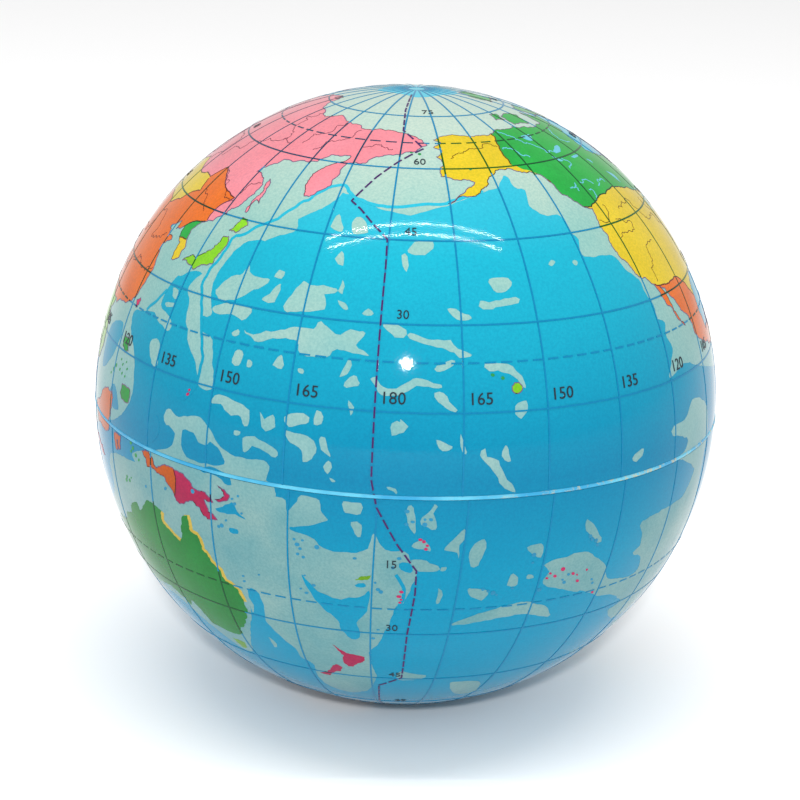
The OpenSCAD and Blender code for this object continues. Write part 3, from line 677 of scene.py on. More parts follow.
# Where shallow water stands over ridges in the oceans that the lists above leave out:
# the line that each ridge follows, how many banks lie along it, and their size in degrees.
RIDGES = [
    ([(-35, 60), (-30, 45), (-40, 30), (-45, 15), (-25, 2)], 34, 2.6),
    ([(-14, -5), (-13, -25), (-15, -45), (5, -54)], 26, 2.6),
    ([(40, -45), (60, -30), (68, -12), (62, 5), (52, 13)], 30, 2.4),
    ([(88, 8), (90, -12), (88, -30), (75, -45)], 22, 2.0),
    ([(100, -48), (130, -52), (160, -60)], 14, 2.6),
    ([(-110, -8), (-108, -25), (-112, -40), (-125, -52)], 18, 2.8),
    ([(-88, -22), (-100, -26), (-84, -35)], 10, 1.8),
    ([(3, -30), (8, -24), (12, -19)], 8, 1.8),
    ([(55, -4), (60, -9), (63, -18)], 8, 1.4),
    ([(-60, -50), (-45, -52), (-28, -57)], 10, 2.2),
]


def bank(lon, lat, size, dice):
    """A soft blob about size degrees across."""
    points = []
    for step in range(7):
        angle = math.tau * step / 7
        reach = size / 2 * dice.uniform(0.45, 1.3)
        east = reach * math.cos(angle) / math.cos(math.radians(lat))
        points.append((lon + east, lat + reach * math.sin(angle)))
    return points


def ridge_banks():
    dice = random.Random(7)
    for line, count, size in RIDGES:
        for _ in range(count):
            at = dice.uniform(0, len(line) - 1.001)
            (lon_a, lat_a), (lon_b, lat_b) = line[int(at)], line[int(at) + 1]
            share = at % 1
            lon = lon_a + (lon_b - lon_a) * share + dice.gauss(0, size)
            lat = lat_a + (lat_b - lat_a) * share + dice.gauss(0, size * 0.7)
            yield bank(lon, lat, size * dice.uniform(0.4, 1.2), dice)


def pale_finish():
    recipe = Recipe("shallow_pale")
    # The pale tint changes with height: painted light and shade.
    tones = recipe.tones(
        [
            (0.1, SHELF_LOW_PAINTED_SHADE), (0.45, SHELF_LOW_PAINTED_SHADE), (0.6, SHELF_MIDDLE_PAINTED_SHADE), (0.85, SHELF_HIGH_PAINTED_LIGHT),
            (0.97, SHELF_TOP_PAINTED_LIGHT),
        ]
    )
    cloud = recipe.between(recipe.grain(7 * MM, 3), 0.35, 0.75)
    return inked_surface(recipe, recipe.blend(0.25 * cloud, tones, colour("b4bcaa")))


def trace(form, line, width, closed=False):
    """Lays a line of even width along points of the ball of radius 1."""
    rails = []
    last = len(line) - 1
    for i, here in enumerate(line):
        before = line[i - 1] if closed or i > 0 else here
        after = line[(i + 1) % len(line)] if closed or i < last else here
        aside = (after - before).cross(here).normalized() * width / 2
        rails.append((form.verts.new(here + aside), form.verts.new(here - aside)))
    onward = rails[1:] + rails[:1] if closed else rails[1:]
    for (a, b), (c, d) in zip(rails, onward):
        form.faces.new((a, b, d, c))


def flowing(points):
    """An open line that bends smoothly through map points."""
    there_and_back = softened(points + points[-2:0:-1])
    return there_and_back[: len(there_and_back) // 2]


def soft_patches(outlines):
    """A sheet with one soft patch inside each outline of map points."""
    sheet = bmesh.new()
    for points in outlines:
        line = softened(points)
        chart = Chart(line)
        spots, faces = meshed([chart.flat(line)])
        lay(sheet, chart.lifted(spots), faces)
    return sheet


shallow_paint = pale_finish()
shelves = soft_patches(SHELVES)
print_both(shelves, "shelf_print", SHELF_R, shallow_paint, "print_pale", "shelf")
banks = soft_patches(BANKS + list(ridge_banks()))
print_both(banks, "sea_banks", SHELF_R + PLATE_STEP, shallow_paint, "print_pale")
basins = soft_patches(BASINS)
for points in TRENCHES:
    trace(basins, flowing(points), TRENCH_W)
print_both(basins, "deep_basins", SHELF_R + 2 * PLATE_STEP, sea_paint, "print_blue")


# ---- Lands ----
# Each country is a flat patch of one spot ink. The coasts were drawn by hand for the plates, so
# they are lively but simple, and neighbours share one border, which a thin dark key line covers.
LAND_R = BALL_R + 0.026 * MM
COAST_STEP = 0.3 * MM / BALL_R
COAST_ROUGH = 0.17
BORDER_ROUGH = 0.09
# How much darker the inks are painted over the south: painted shade for the lower half, which gets less
# light.
INK_SOUTH_PAINTED_SHADE = (0.62, 0.55, 0.62, 1)
# Each ink's colours: where it lies thin, and where it lies thick
INKS = {
    "pink": ("d97f89", "d1767f"),
    "orange": ("d46616", "ca5d12"),
    "yellow": ("ceb222", "c4a81c"),
    "green": ("1d9c3c", "168c34"),
    "lime": ("80bf24", "6fae20"),
    "magenta": ("c4285a", "b42250"),
    "ice": ("cfd8d3", "bccac8"),
}

# Each land: its coast, the ink of whatever no country takes, and the countries' inks and borders
LANDS = [
    # Eurasia
    ([(-9, 38), (-9, 43), (-2, 43.5), (-1, 46), (-4.5, 48.3), (2, 50.5), (5, 53), (8.5, 54), (8, 57),
      (10.5, 57.5), (11, 54.3), (19, 54.7), (21.5, 57), (24, 59), (29.5, 60), (22, 60.5), (21.5, 63),
      (25, 65.3), (22, 65.8), (17.3, 62), (18.5, 60), (16, 57), (13, 55.5), (11, 59), (7, 58),
      (5, 60.5), (10, 64), (15, 68.5), (25, 71), (33, 69.5), (41, 67), (34, 66.3), (38, 64), (44, 66),
      (46, 68), (60, 69), (68, 68.5), (67, 72), (72, 72), (80, 73.5), (90, 75.5), (104, 77.5),
      (113, 74), (125.5, 72.3), (132, 70.8), (136, 71.5), (141, 72.5), (148.5, 71), (157, 70.5),
      (159.5, 69.5), (165.5, 69.5), (169, 70), (178, 69.3), (190, 66), (186, 64.5), (180, 63.3),
      (177.5, 63), (173.5, 62.5), (169, 60.5), (165.5, 60.5), (163.8, 60.2), (162, 58.5), (162.2, 57),
      (161.5, 55), (159.5, 53.5), (158, 52.3), (155.5, 51.7), (154.3, 53.5), (154, 55.5), (155, 57.5),
      (158, 59.3), (161.5, 60.3), (163, 61.8), (159, 61.5), (155.5, 61.5), (152.5, 59.5), (146, 59),
      (140, 58.5), (136.5, 56.5), (134, 54.5), (137.5, 54), (139.5, 53), (140.3, 51.5), (139, 49),
      (138, 47), (135.5, 45), (133, 43), (130, 42.2), (127.7, 40), (129.5, 37), (129.3, 34.8),
      (127, 34), (126.5, 37.3), (125, 38), (124.5, 40), (121.3, 39), (121.5, 40.8), (118, 39),
      (120, 37.6), (122.5, 37), (119.8, 35), (122, 31), (121.5, 28.5), (120.3, 25), (117, 23),
      (110, 21), (108, 21.5), (106, 19), (109, 14.5), (109, 12), (105, 8.7), (105, 10.3), (102.5, 12),
      (100.5, 13.3), (99.5, 10), (101.5, 6.8), (103.5, 4), (104, 1.4), (101, 2.8), (100, 6.3),
      (98.3, 8.5), (98.5, 12.5), (97.3, 16.6), (94.5, 16), (94, 19), (91.5, 22.5), (88, 21.7), (86, 20),
      (82, 16.5), (80, 15), (80, 11), (77.5, 8), (75, 12), (73, 17), (72.7, 21), (70, 20.8), (67, 24.8),
      (61.5, 25.1), (57, 26.5), (54, 26.7), (50.5, 29.5), (48, 30), (50, 26.5), (52, 24.2),
      (54.5, 24.2), (56.3, 26), (57, 24), (59.8, 22.5), (57.8, 19), (52, 15.6), (45, 12.9),
      (43.2, 12.8), (42.8, 16.4), (39, 21), (35, 28), (33, 30), (34.2, 31.3), (36, 36.6), (30.5, 36.5),
      (27.3, 37), (26.3, 39.5), (29, 41.2), (33, 42), (41.3, 41.5), (37.5, 45), (33.5, 44.6),
      (31, 46.5), (28.3, 43.5), (28, 41.5), (23.5, 40.3), (24, 38), (22.5, 36.5), (19.5, 41),
      (13.7, 45.6), (12.5, 44), (18.4, 40), (16, 38), (15, 40.2), (10.3, 43), (8.8, 44.4), (6, 43),
      (3, 42.5), (-0.5, 39), (-2, 37.1), (-5.5, 36.7), (-9, 37.3)], "green", [
        ("pink", [(28, 80), (110, 84), (195, 75), (200, 60), (165, 45), (140, 42), (131, 42.5),
          (131, 45), (134.5, 48.3), (127, 50), (120, 53.3), (116, 50), (107, 49.5), (98, 52),
          (88, 49.5), (80, 51), (76, 54), (69, 55.3), (61, 54), (60, 51), (50, 51.5), (47, 48),
          (48.5, 42), (40, 43.5), (37, 44), (37, 47), (39, 49.5), (32, 53), (28, 56), (28, 60),
          (30, 62.5), (28, 69)]),
        ("yellow", [(88, 49.5), (98, 52), (107, 49.5), (116, 50), (118, 47), (111, 43.5), (105, 41.7),
          (96, 42.7)]),
        ("orange", [(131, 42.5), (131, 45), (134.5, 48.3), (127, 50), (120, 53.3), (116, 50), (118, 47),
          (111, 43.5), (105, 41.7), (96, 42.7), (88, 49.5), (82, 45), (80, 42), (74, 39.5), (79, 32.5),
          (86, 28), (97, 28), (98.5, 24), (102, 22), (108, 21.5), (112, 17), (125, 25), (125, 36),
          (123, 38.5), (124.5, 40.5), (128, 42)]),
        ("green", [(123, 38.5), (124.5, 40.5), (128, 42), (131, 42.5), (130.5, 38.7), (124, 37.8)]),
        ("yellow", [(124, 37.8), (130.5, 38.7), (131, 34), (125, 33)]),
        ("green", [(47, 48), (50, 51.5), (60, 51), (61, 54), (69, 55.3), (76, 54), (80, 51), (88, 49.5),
          (82, 45), (80, 42), (74, 39.5), (71, 37), (61, 36), (54, 37.5), (48.5, 42)]),
        ("magenta", [(48.5, 42), (54, 37.5), (61, 36), (71, 37), (74, 39.5), (79, 32.5), (70, 27),
          (67, 22), (60, 24), (56.5, 26.25), (53, 26), (48, 29), (45, 35), (44, 40)]),
        ("yellow", [(79, 32.5), (70, 27), (67, 22), (72, 10), (78, 5), (84, 10), (91, 20), (92, 26),
          (97, 28), (86, 28)]),
        ("lime", [(97, 28), (98.5, 24), (102, 22), (108, 21.5), (112, 17), (110, 6), (104, -1), (96, 6),
          (91, 20), (92, 26)]),
        ("orange", [(33, 30), (40, 33), (45, 35), (48, 29), (53, 26), (56.5, 26.25), (60, 24), (62, 22),
          (52, 13), (43, 12), (36, 24)]),
        ("green", [(25, 41), (30, 43), (40, 43.5), (48.5, 42), (44, 40), (45, 35), (40, 33), (33, 30),
          (25, 34)]),
        ("yellow", [(37, 44), (37, 47), (39, 49.5), (32, 53), (28, 56), (28, 60), (20, 58), (14, 55),
          (15, 51), (17, 48), (14, 46), (13.6, 45.3), (18.7, 40.6), (20, 36), (26, 34), (25, 41),
          (30, 43)]),
        ("magenta", [(14, 46), (17, 48), (15, 51), (14, 55), (10, 56), (12, 58.5), (4, 58), (-8, 49),
          (-4, 44.5), (-2, 43), (3.5, 42.5), (7, 44)]),
        ("orange", [(-12, 34), (-12, 44.5), (-4, 44.5), (-2, 43), (3.5, 42.5), (4, 36)]),
        ("green", [(7, 44), (14, 46), (13.6, 45.3), (18.7, 40.6), (20, 36), (8, 36), (3.5, 42.5)]),
        ("lime", [(20, 58), (28, 60), (30, 62.5), (28, 69), (28, 80), (0, 66), (4, 58), (12, 58.5),
          (10, 56), (14, 55)]),
    ]),
    # North America
    ([(-167.5, 65.4), (-164, 66.5), (-167, 67.5), (-154.5, 68.6), (-146, 68.4), (-140, 68.3),
      (-128, 69.3), (-115, 69), (-108, 68), (-96, 68), (-94, 72), (-86, 69), (-82, 69.5), (-86, 66.5),
      (-88, 64), (-93.5, 61), (-94.5, 58.8), (-88, 56.7), (-82, 55.2), (-80, 51.3), (-79, 54.7),
      (-77, 57), (-78, 62.4), (-70, 61), (-66, 58.7), (-64.5, 60.3), (-61.5, 57), (-56, 52),
      (-60, 50.2), (-66.5, 50), (-64.5, 47), (-60, 46.2), (-66, 43.5), (-67, 45), (-70.5, 43),
      (-74, 40.5), (-76, 35), (-81, 31.5), (-80.2, 25.5), (-82.7, 28.5), (-84, 30), (-94, 29.5),
      (-97.3, 27.5), (-97.7, 22.5), (-95.5, 18.7), (-91, 18.6), (-90.3, 21), (-87, 21.3), (-88.3, 16),
      (-83.3, 15), (-83.7, 11), (-80, 9.2), (-78.5, 7.8), (-83, 8.3), (-86, 11), (-88, 13), (-94, 16),
      (-102, 18), (-105.6, 20.5), (-105.7, 22.5), (-109.4, 26), (-112.8, 31), (-114.7, 31.7),
      (-112.8, 28), (-109.5, 23), (-112.2, 25), (-114.5, 28), (-117, 32.5), (-120.6, 34.5),
      (-122.5, 37.8), (-124.3, 40.4), (-124, 46), (-123, 48.7), (-128, 51), (-131, 55), (-136, 58.3),
      (-142, 59.3), (-148, 59.3), (-151, 58), (-152.5, 56.3), (-155.5, 55), (-158.5, 53.8),
      (-165.5, 52.4), (-161.5, 54.3), (-158, 55.8), (-156.5, 56.8), (-158, 57.4), (-163, 57.6),
      (-164, 58), (-166.5, 58.3), (-166.5, 60), (-165, 61.2), (-167, 63), (-164.5, 64.5)], "green", [
        ("yellow", [(-141, 60.3), (-141, 75), (-175, 72), (-175, 50), (-150, 50), (-135, 54),
          (-131, 55.5)]),
        ("green", [(-141, 60.3), (-141, 75), (-90, 78), (-50, 60), (-50, 44), (-67, 43), (-68, 47),
          (-75, 45), (-83, 42.5), (-84, 46), (-95, 49), (-123, 49), (-135, 48), (-135, 54),
          (-131, 55.5)]),
        ("yellow", [(-67, 43), (-68, 47), (-75, 45), (-83, 42.5), (-84, 46), (-95, 49), (-123, 49),
          (-135, 48), (-125, 32), (-117, 32.5), (-111, 31.3), (-106, 31.7), (-101, 29.5), (-97, 25.8),
          (-85, 24), (-76, 24)]),
        ("orange", [(-125, 32), (-117, 32.5), (-111, 31.3), (-106, 31.7), (-101, 29.5), (-97, 25.8),
          (-85, 24), (-87, 18), (-91, 17), (-92, 12), (-110, 15)]),
        ("lime", [(-87, 18), (-91, 17), (-92, 12), (-84, 5), (-76, 6), (-76, 12)]),
    ]),
    # South America
    ([(-77, 8.5), (-75, 11), (-72, 12), (-62, 10.5), (-57, 6), (-51, 4), (-50, 0.5), (-44, -2.8),
      (-38.5, -3.7), (-35, -6), (-35, -9), (-39, -13.5), (-39.5, -19), (-42, -22.8), (-48, -26),
      (-53.5, -34), (-58, -34.5), (-57, -37), (-62, -39), (-65, -41.5), (-67.5, -47), (-69, -51),
      (-66, -55), (-71, -54.5), (-75, -50), (-73.5, -38), (-71.5, -30), (-70.3, -19), (-76.3, -13.8),
      (-81.2, -5), (-80.5, 0), (-77.3, 4)], "green", [
        ("green", [(-50, 5), (-60, 5), (-70, 1), (-73, -8), (-65, -12), (-58, -20), (-54, -26),
          (-58, -30), (-50, -36), (-33, -20), (-33, 0)]),
        ("yellow", [(-50, 5), (-60, 5), (-70, 1), (-82, 1), (-80, 14), (-55, 12)]),
        ("pink", [(-70, 1), (-73, -8), (-65, -12), (-66, -22), (-71, -24), (-85, -15), (-82, 1)]),
        ("orange", [(-65, -12), (-58, -20), (-54, -26), (-58, -30), (-50, -36), (-60, -57), (-68, -56),
          (-70, -35), (-66, -22)]),
        ("lime", [(-66, -22), (-70, -35), (-68, -56), (-80, -56), (-76, -24), (-71, -24)]),
    ]),
    # Africa
    ([(-6, 35), (3, 36.2), (10, 36.8), (11, 34), (15.5, 32), (20, 30.7), (23, 32.5), (29, 31), (32, 31),
      (35.5, 24), (37.2, 20.5), (39.5, 15.3), (43, 11.7), (51, 11.8), (48, 4.5), (42, -1.5), (39, -5),
      (40.5, -10.5), (40.5, -15), (35, -20), (35.5, -24), (32.7, -27.5), (28, -33), (19.5, -34.7),
      (15, -26.5), (11.8, -17.5), (13.7, -11), (9, -1), (9.5, 4), (6, 4.3), (-7.7, 4.4), (-13, 8.5),
      (-17, 14.7), (-16, 19), (-13, 27.5), (-9.8, 30.5)], "yellow", [
        ("yellow", [(-20, 20), (-20, 37), (12, 40), (12, 30), (0, 22), (-6, 22)]),
        ("orange", [(12, 40), (36, 33), (42, 16), (41, 14), (24, 14), (24, 22), (12, 30)]),
        ("lime", [(-20, 20), (-6, 22), (0, 22), (12, 30), (24, 22), (24, 14), (14, 10), (5, 14),
          (-20, 13)]),
        ("green", [(-20, 13), (5, 14), (14, 10), (10, 1), (6, -2), (-12, 2)]),
        ("pink", [(14, 10), (24, 14), (28, 5), (30, -8), (24, -11), (10, -13), (6, -2), (10, 1)]),
        ("magenta", [(24, 14), (41, 14), (54, 13), (46, -3), (36, -5), (30, -8), (28, 5)]),
        ("yellow", [(10, -13), (24, -11), (30, -8), (36, -5), (46, -3), (46, -20), (30, -40),
          (14, -38)]),
    ]),
    # Australia
    ([(114, -22), (113.7, -26), (115.7, -32), (115, -34.3), (118.5, -34.8), (126, -32.3), (131, -31.5),
      (135.5, -34.8), (137.8, -32.8), (140.5, -38), (146, -38.6), (150, -37.5), (154, -30.5),
      (154.5, -27.5), (154, -24.3), (151.5, -23), (151, -21), (149, -18.7), (147.5, -17), (147, -14.2),
      (145.2, -13.5), (145, -10.4), (143.8, -11), (143, -15), (142, -17), (138, -14.5), (138, -11.8),
      (136, -11.2), (134, -10.9), (132.5, -12.2), (130, -14.4), (129.5, -13), (128, -13.5),
      (125.5, -16.5), (122.3, -17.8), (119, -20)], "green", []),
    # Antarctica
    ([(-60, -64.5), (-63, -69), (-62, -75), (-35, -78), (-15, -72.5), (15, -70), (50, -67), (80, -68),
      (115, -66.5), (145, -67), (170, -71.5), (165, -78), (-160, -79), (-130, -74), (-100, -73),
      (-75, -72.5), (-66, -66)], "ice", []),
    # Greenland
    ([(-72, 78), (-60, 82), (-35, 83.4), (-20, 81), (-20, 75), (-24, 70), (-33, 67.5), (-42, 62.5),
      (-45, 60), (-50, 63), (-53.5, 67), (-52, 70), (-58, 75.3)], "ice", []),
    # High Arctic
    ([(-92, 77), (-78, 77), (-66, 81.5), (-78, 82.8), (-94, 81)], "green", []),
    # Baffin
    ([(-66, 62.5), (-62, 66.5), (-78, 73.3), (-89, 73.3), (-85, 70.5), (-74, 66)], "green", []),
    # Victoria
    ([(-117, 70), (-106, 69.2), (-102, 72), (-108, 73.3), (-117, 73)], "green", []),
    # Banks
    ([(-125, 72.3), (-119, 71.8), (-117, 74), (-123, 74.3)], "green", []),
    # Novaya
    ([(53, 71.3), (56.5, 71), (67, 76), (60, 76)], "pink", []),
    # Iceland
    ([(-23.5, 65.5), (-21.5, 63.9), (-14, 64.8), (-16, 66.4)], "orange", []),
    # Britain
    ([(-5.3, 50.2), (1.2, 51.3), (0.5, 53), (-2, 56), (-3.5, 58.6), (-6, 57), (-3.2, 54.5), (-5, 52)],
      "magenta", []),
    # Ireland
    ([(-10, 52), (-6.3, 52.3), (-6, 54.5), (-8.5, 55.2)], "green", []),
    # Sakhalin
    ([(141.3, 53.8), (143.2, 50.5), (143.6, 48.5), (142.3, 49.2), (141.7, 46.3), (141.2, 46.4),
      (141.2, 49), (142, 51.5)], "pink", []),
    # Hokkaido
    ([(140, 42.3), (142.5, 42.3), (144.5, 44), (141.5, 45.2)], "lime", []),
    # Honshu
    ([(131, 34.6), (134, 34.3), (136, 33.8), (137.5, 35), (140.5, 35.7), (140.8, 37.5), (141.8, 39.5),
      (141, 41.2), (139.5, 41), (138.5, 39), (137, 37.2), (135, 36)], "lime", []),
    # Taiwan
    ([(121.2, 24.5), (122.5, 25.2), (123, 24.8), (122, 23.2)], "magenta", []),
    # Luzon
    ([(121.5, 17.8), (123.8, 17.6), (124.5, 15.5), (123.3, 14.8), (121.6, 15.8)], "green", []),
    # Mindanao
    ([(124.2, 7.5), (124.7, 9.3), (128, 9), (128, 6.6), (126.5, 6.3)], "green", []),
    # Ceylon
    ([(80, 9.6), (81.8, 7.5), (80.5, 6)], "magenta", []),
    # Cuba
    ([(-84.8, 22), (-81, 23.1), (-74.3, 20.3), (-77.7, 20)], "magenta", []),
    # Hispaniola
    ([(-74.3, 18.4), (-73, 19.9), (-68.5, 18.6)], "magenta", []),
    # Sumatra
    ([(95.3, 5.6), (98, 4), (103.5, 0), (106, -3), (105.5, -5.8), (102, -4), (98.5, 1.5)], "orange",
      []),
    # Java
    ([(105.2, -6.8), (112.7, -6.8), (114.5, -8.4), (108, -7.9)], "magenta", []),
    # Borneo
    ([(109, 1.5), (113, 3), (116, 6), (120.3, 6.6), (121, 5.5), (120, 1.5), (119.3, -1.3), (116, -2.2),
      (111, -2.5)], "orange", []),
    # Celebes
    ([(122.3, -1), (125.3, -0.6), (125, -3.5), (124.3, -3.8), (124.2, -1.8), (123.6, -2), (123.6, -4),
      (123, -4)], "orange", []),
    # New Guinea
    ([(133.5, -1), (135.5, -0.5), (136.8, -1.5), (137, -2.6), (138, -3), (140, -1.7), (142.8, -2),
      (145.5, -2.7), (148.5, -4.5), (151, -5.2), (151.5, -6), (149.5, -6), (152.2, -9.4), (150, -9.8),
      (148.5, -8), (147, -7), (143.5, -8.5), (142.3, -7.3), (140.8, -5.4), (137.3, -3.6), (136, -3.4),
      (135, -3.6), (134.6, -2)], "orange", [
        ("orange", [(128, 2), (142.6, 2), (142.4, -12), (128, -8)]),
        ("magenta", [(142.6, 2), (142.4, -12), (155, -12), (155, -2)]),
    ]),
    # New Britain
    ([(152.6, -2.4), (154, -2.9), (155, -3.7), (154.3, -5), (152.6, -5.6), (151.9, -5.2), (153.2, -4.8),
      (154, -4.2), (153.8, -3.4)], "magenta", []),
    # Tasmania
    ([(144.8, -40.8), (148.3, -40.9), (147.8, -43), (146, -43.5)], "lime", []),
    # Zealand North
    ([(172, -34.6), (174, -36.2), (175.5, -37), (178.5, -37.6), (175.6, -41.3), (174.5, -41.4),
      (173.6, -39), (174, -37.6)], "magenta", []),
    # Zealand South
    ([(171.6, -41.2), (173, -42.2), (172.4, -43.6), (169, -46.3), (166.6, -45.9), (169, -44.2)],
      "magenta", []),
    # Madagascar
    ([(49.3, -12.3), (50.3, -15.5), (47, -25), (44, -25), (44, -17)], "lime", []),
    # Fiji
    ([(177.5, -17.2), (179.5, -16.2), (180.3, -16), (179.6, -17)], "lime", []),
    # Hawaii
    ([(-155.9, 19.9), (-155.2, 19.9), (-154.6, 19.3), (-154.6, 18.6), (-155.2, 18.1), (-155.9, 18.1),
      (-156.4, 18.6), (-156.4, 19.3)], "lime", []),
]


def ragged(a, b, rough):
    """The line between two map points as a hand draws it, the same from either end."""
    if a > b:
        return ragged(b, a, rough)[::-1]
    dice = random.Random(f"{a[0]:.2f} {a[1]:.2f} {b[0]:.2f} {b[1]:.2f}")
    line = [drawn(*a), drawn(*b)]
    while (line[1] - line[0]).length > COAST_STEP:
        finer = [line[0]]
        for p, q in zip(line, line[1:]):
            aside = (q - p).cross(p) * dice.uniform(-rough, rough)
            finer += [((p + q) / 2 + aside).normalized(), q]
        line = finer
    return line


def ragged_run(points, rough):
    """An open ragged line through map points."""
    line = [drawn(*points[0])]
    for a, b in zip(points, points[1:]):
        line += ragged(a, b, rough)[1:]
    return line


def ragged_ring(points, rough):
    """A closed ragged line through map points."""
    return ragged_run(points + points[:1], rough)[:-1]


colours = {name: bmesh.new() for name in INKS}
grounds = []
for land, whole, countries in LANDS:
    shore_line = ragged_ring(land, COAST_ROUGH)
    chart = Chart(shore_line)
    shore = chart.flat(shore_line)
    borders = [(name, chart.flat(ragged_ring(block, BORDER_ROUGH))) for name, block in countries]
    spots, faces = meshed([shore] + [loop for _, loop in borders])
    left = np.ones(len(faces), bool)
    centres = spots[faces].mean(1)
    for name, loop in borders:
        within = left & inside(centres, loop)
        if within.any():
            lay(colours[name], chart.lifted(spots), faces[within])
            left &= ~within
    if left.any():
        lay(colours[whole], chart.lifted(spots), faces[left])
    grounds.append((chart, shore, whole, borders))


def land_finish(name, pale, deep):
    recipe = Recipe(f"ink_{name}")
    cloud = recipe.between(recipe.grain(5 * MM, 4, 0.6), 0.3, 0.7)
    # The inks are painted darker towards the southern pole: painted shade.
    north = recipe.between(recipe.height(), 0.45, 0.75)
    painted_south_shade = recipe.blend(north, INK_SOUTH_PAINTED_SHADE, (1, 1, 1, 1))
    ink = recipe.blend(cloud, colour(pale), colour(deep))
    return inked_surface(recipe, recipe.blend(1.0, ink, painted_south_shade, "MULTIPLY"))


for name, (pale, deep) in INKS.items():
    slot = "print_white" if name == "ice" else f"print_{name}"
    print_both(colours[name], f"{name}_print", LAND_R, land_finish(name, pale, deep), slot, name)


# ---- Coast fringe ----
# The green plate is printed a little small, so along some southern coasts the yellow one shows
# past it as a thin bright edge.
FRINGE_W = 0.95 * MM / BALL_R
FRINGES = [
    [(145, -10.4), (145.2, -13.5), (147, -14.2), (147.5, -17), (149, -18.7), (151, -21), (151.5, -23),
     (154, -24.3), (154.5, -27.5)],
    [(138, -11.8), (138, -14.5), (142, -17)],
]
fringe = bmesh.new()
for points in FRINGES:
    trace(fringe, ragged_run(points, COAST_ROUGH)[::3], FRINGE_W)
# The fringe's yellow is also painted darker towards the south: painted shade.
fringe_paint = land_finish("fringe", "e6d257", "dcc440")
print_both(fringe, "coast_fringe", LAND_R - 0.005 * MM, fringe_paint, "print_yellow")


# ---- Key lines ----
# One dark plate over the colours draws borders, coasts and rivers. Its ink is thin, so the colour under it
# shows through: purple over pink, olive over yellow, brown over orange.
KEY_R = BALL_R + 0.038 * MM
BORDER_W = 0.15 * MM / BALL_R
COAST_W = 0.10 * MM / BALL_R


def ground_of(points):
    """The name of the ink under each of some directions from the ball's centre."""
    names = np.full(len(points), "sea", dtype=object)
    for chart, shore, whole, borders in grounds:
        # A chart holds its own side of the ball best, and no land goes farther round
        near = np.flatnonzero(points @ chart.turn[2] > -0.2)
        spots = chart.flat(points[near])
        low, high = shore.min(0), shore.max(0)
        boxed = ((spots > low) & (spots < high)).all(1)
        near, spots = near[boxed], spots[boxed]
        within = inside(spots, shore)
        near, spots = near[within], spots[within]
        names[near] = whole
        for name, loop in reversed(borders):
            names[near[inside(spots, loop)]] = name
    return names


def tint_ground(data):
    """Stores, on each face, the colour of the ink that lies under it."""
    middles = np.empty(len(data.polygons) * 3)
    data.polygons.foreach_get("center", middles)
    middles = middles.reshape(-1, 3)
    middles /= np.linalg.norm(middles, axis=1)[:, None]
    sizes = np.empty(len(data.polygons), int)
    data.polygons.foreach_get("loop_total", sizes)
    shades = {name: colour(pale) for name, (pale, deep) in INKS.items()}
    shades["sea"] = (1.0, 1.0, 1.0, 1.0)
    tints = np.array([shades[name] for name in ground_of(middles)])
    layer = data.attributes.new("ground", "FLOAT_COLOR", "CORNER")
    layer.data.foreach_set("color", np.repeat(tints, sizes, axis=0).ravel())


def overprint_finish(name, code):
    """A thin ink through which the one under it shows."""
    recipe = Recipe(name)
    ground = recipe.add("ShaderNodeAttribute", {"attribute_name": "ground"}, {}, "Color")
    return inked_surface(recipe, recipe.blend(1.0, ground, colour(code), "MULTIPLY"))


# Rivers that the dark plate draws, each along map points
RIVERS = [
    [(107, 54), (115, 60), (125, 61.5), (129.5, 62.5), (125, 67), (127, 72)],
    [(135, 62.5), (130, 63.3), (129.5, 62.5)],
    [(147, 62), (151, 65), (158, 66.5), (160, 69)],
    [(140, 63), (146, 67), (149, 70.7)],
    [(165, 64.5), (170, 65.5), (177, 64.5)],
    [(92, 52), (93, 58), (90, 61), (87, 66), (83, 71)],
    [(100, 52), (104, 58), (93, 58.3)],
    [(84, 54), (76, 60), (66, 61), (66, 66.5)],
    [(121.3, 53), (127, 50), (131, 47.7), (135, 48.5), (139.5, 52.5)],
    [(95, 33), (103, 26.5), (108, 29.5), (115, 30), (121.5, 31)],
    [(97, 35), (104, 36.5), (108, 40.5), (111, 38), (111, 35), (118.5, 37.5)],
    [(120, 49), (124, 46), (127, 44)],
    [(-112, 47), (-104, 48), (-97, 43), (-90.3, 38.8)],
    [(-94, 46.5), (-91, 43), (-90.3, 38.8), (-91, 33), (-89.8, 29.8)],
    [(-107, 39.5), (-112, 36.5), (-114.5, 35), (-114.5, 32.5)],
    [(-118, 48.8), (-119.5, 46), (-123.5, 46.2)],
    [(-119.5, 42), (-112, 42.5), (-111, 44), (-117, 45.5)],
    [(-162, 62.5), (-155, 64.5), (-146, 66), (-141, 65)],
]
RIVER_W = 0.085 * MM / BALL_R
RIVER_ROUGH = 0.3


def spot_name(point):
    """A name for a border point, the same in both countries that share it."""
    return tuple(round(c, 4) for c in point)


def new_borders(chart, shore, loop, drawn_already):
    """The stretches of a country's border that lie on land and that no neighbour has drawn."""
    points = [Vector(p) for p in chart.lifted(loop)]
    within = inside(loop, shore)
    run = []
    for here, on_land in zip(points + points[:1], [*within, within[0]]):
        if on_land and spot_name(here) not in drawn_already:
            run.append(here)
        else:
            if len(run) > 1:
                yield run + ([here] if on_land else [])
            run = []
    drawn_already.update(spot_name(point) for point in points)


key = bmesh.new()
for points in RIVERS:
    trace(key, ragged_run(points, RIVER_ROUGH), RIVER_W)
drawn_borders = set()
for chart, shore, whole, borders in grounds:
    for name, loop in borders:
        for run in new_borders(chart, shore, loop, drawn_borders):
            trace(key, run, BORDER_W)
for land, whole, countries in LANDS:
    # South of New Guinea, and round the ice, the plate leaves the coasts undrawn
    if drawn(*land[0]).z > -0.1 and whole != "ice":
        trace(key, ragged_ring(land, COAST_ROUGH), COAST_W, closed=True)
key_paint = overprint_finish("key_ink", "6a4a6e")
print_both(key, "key_lines", KEY_R, key_paint, "print_line", None, tint_ground)


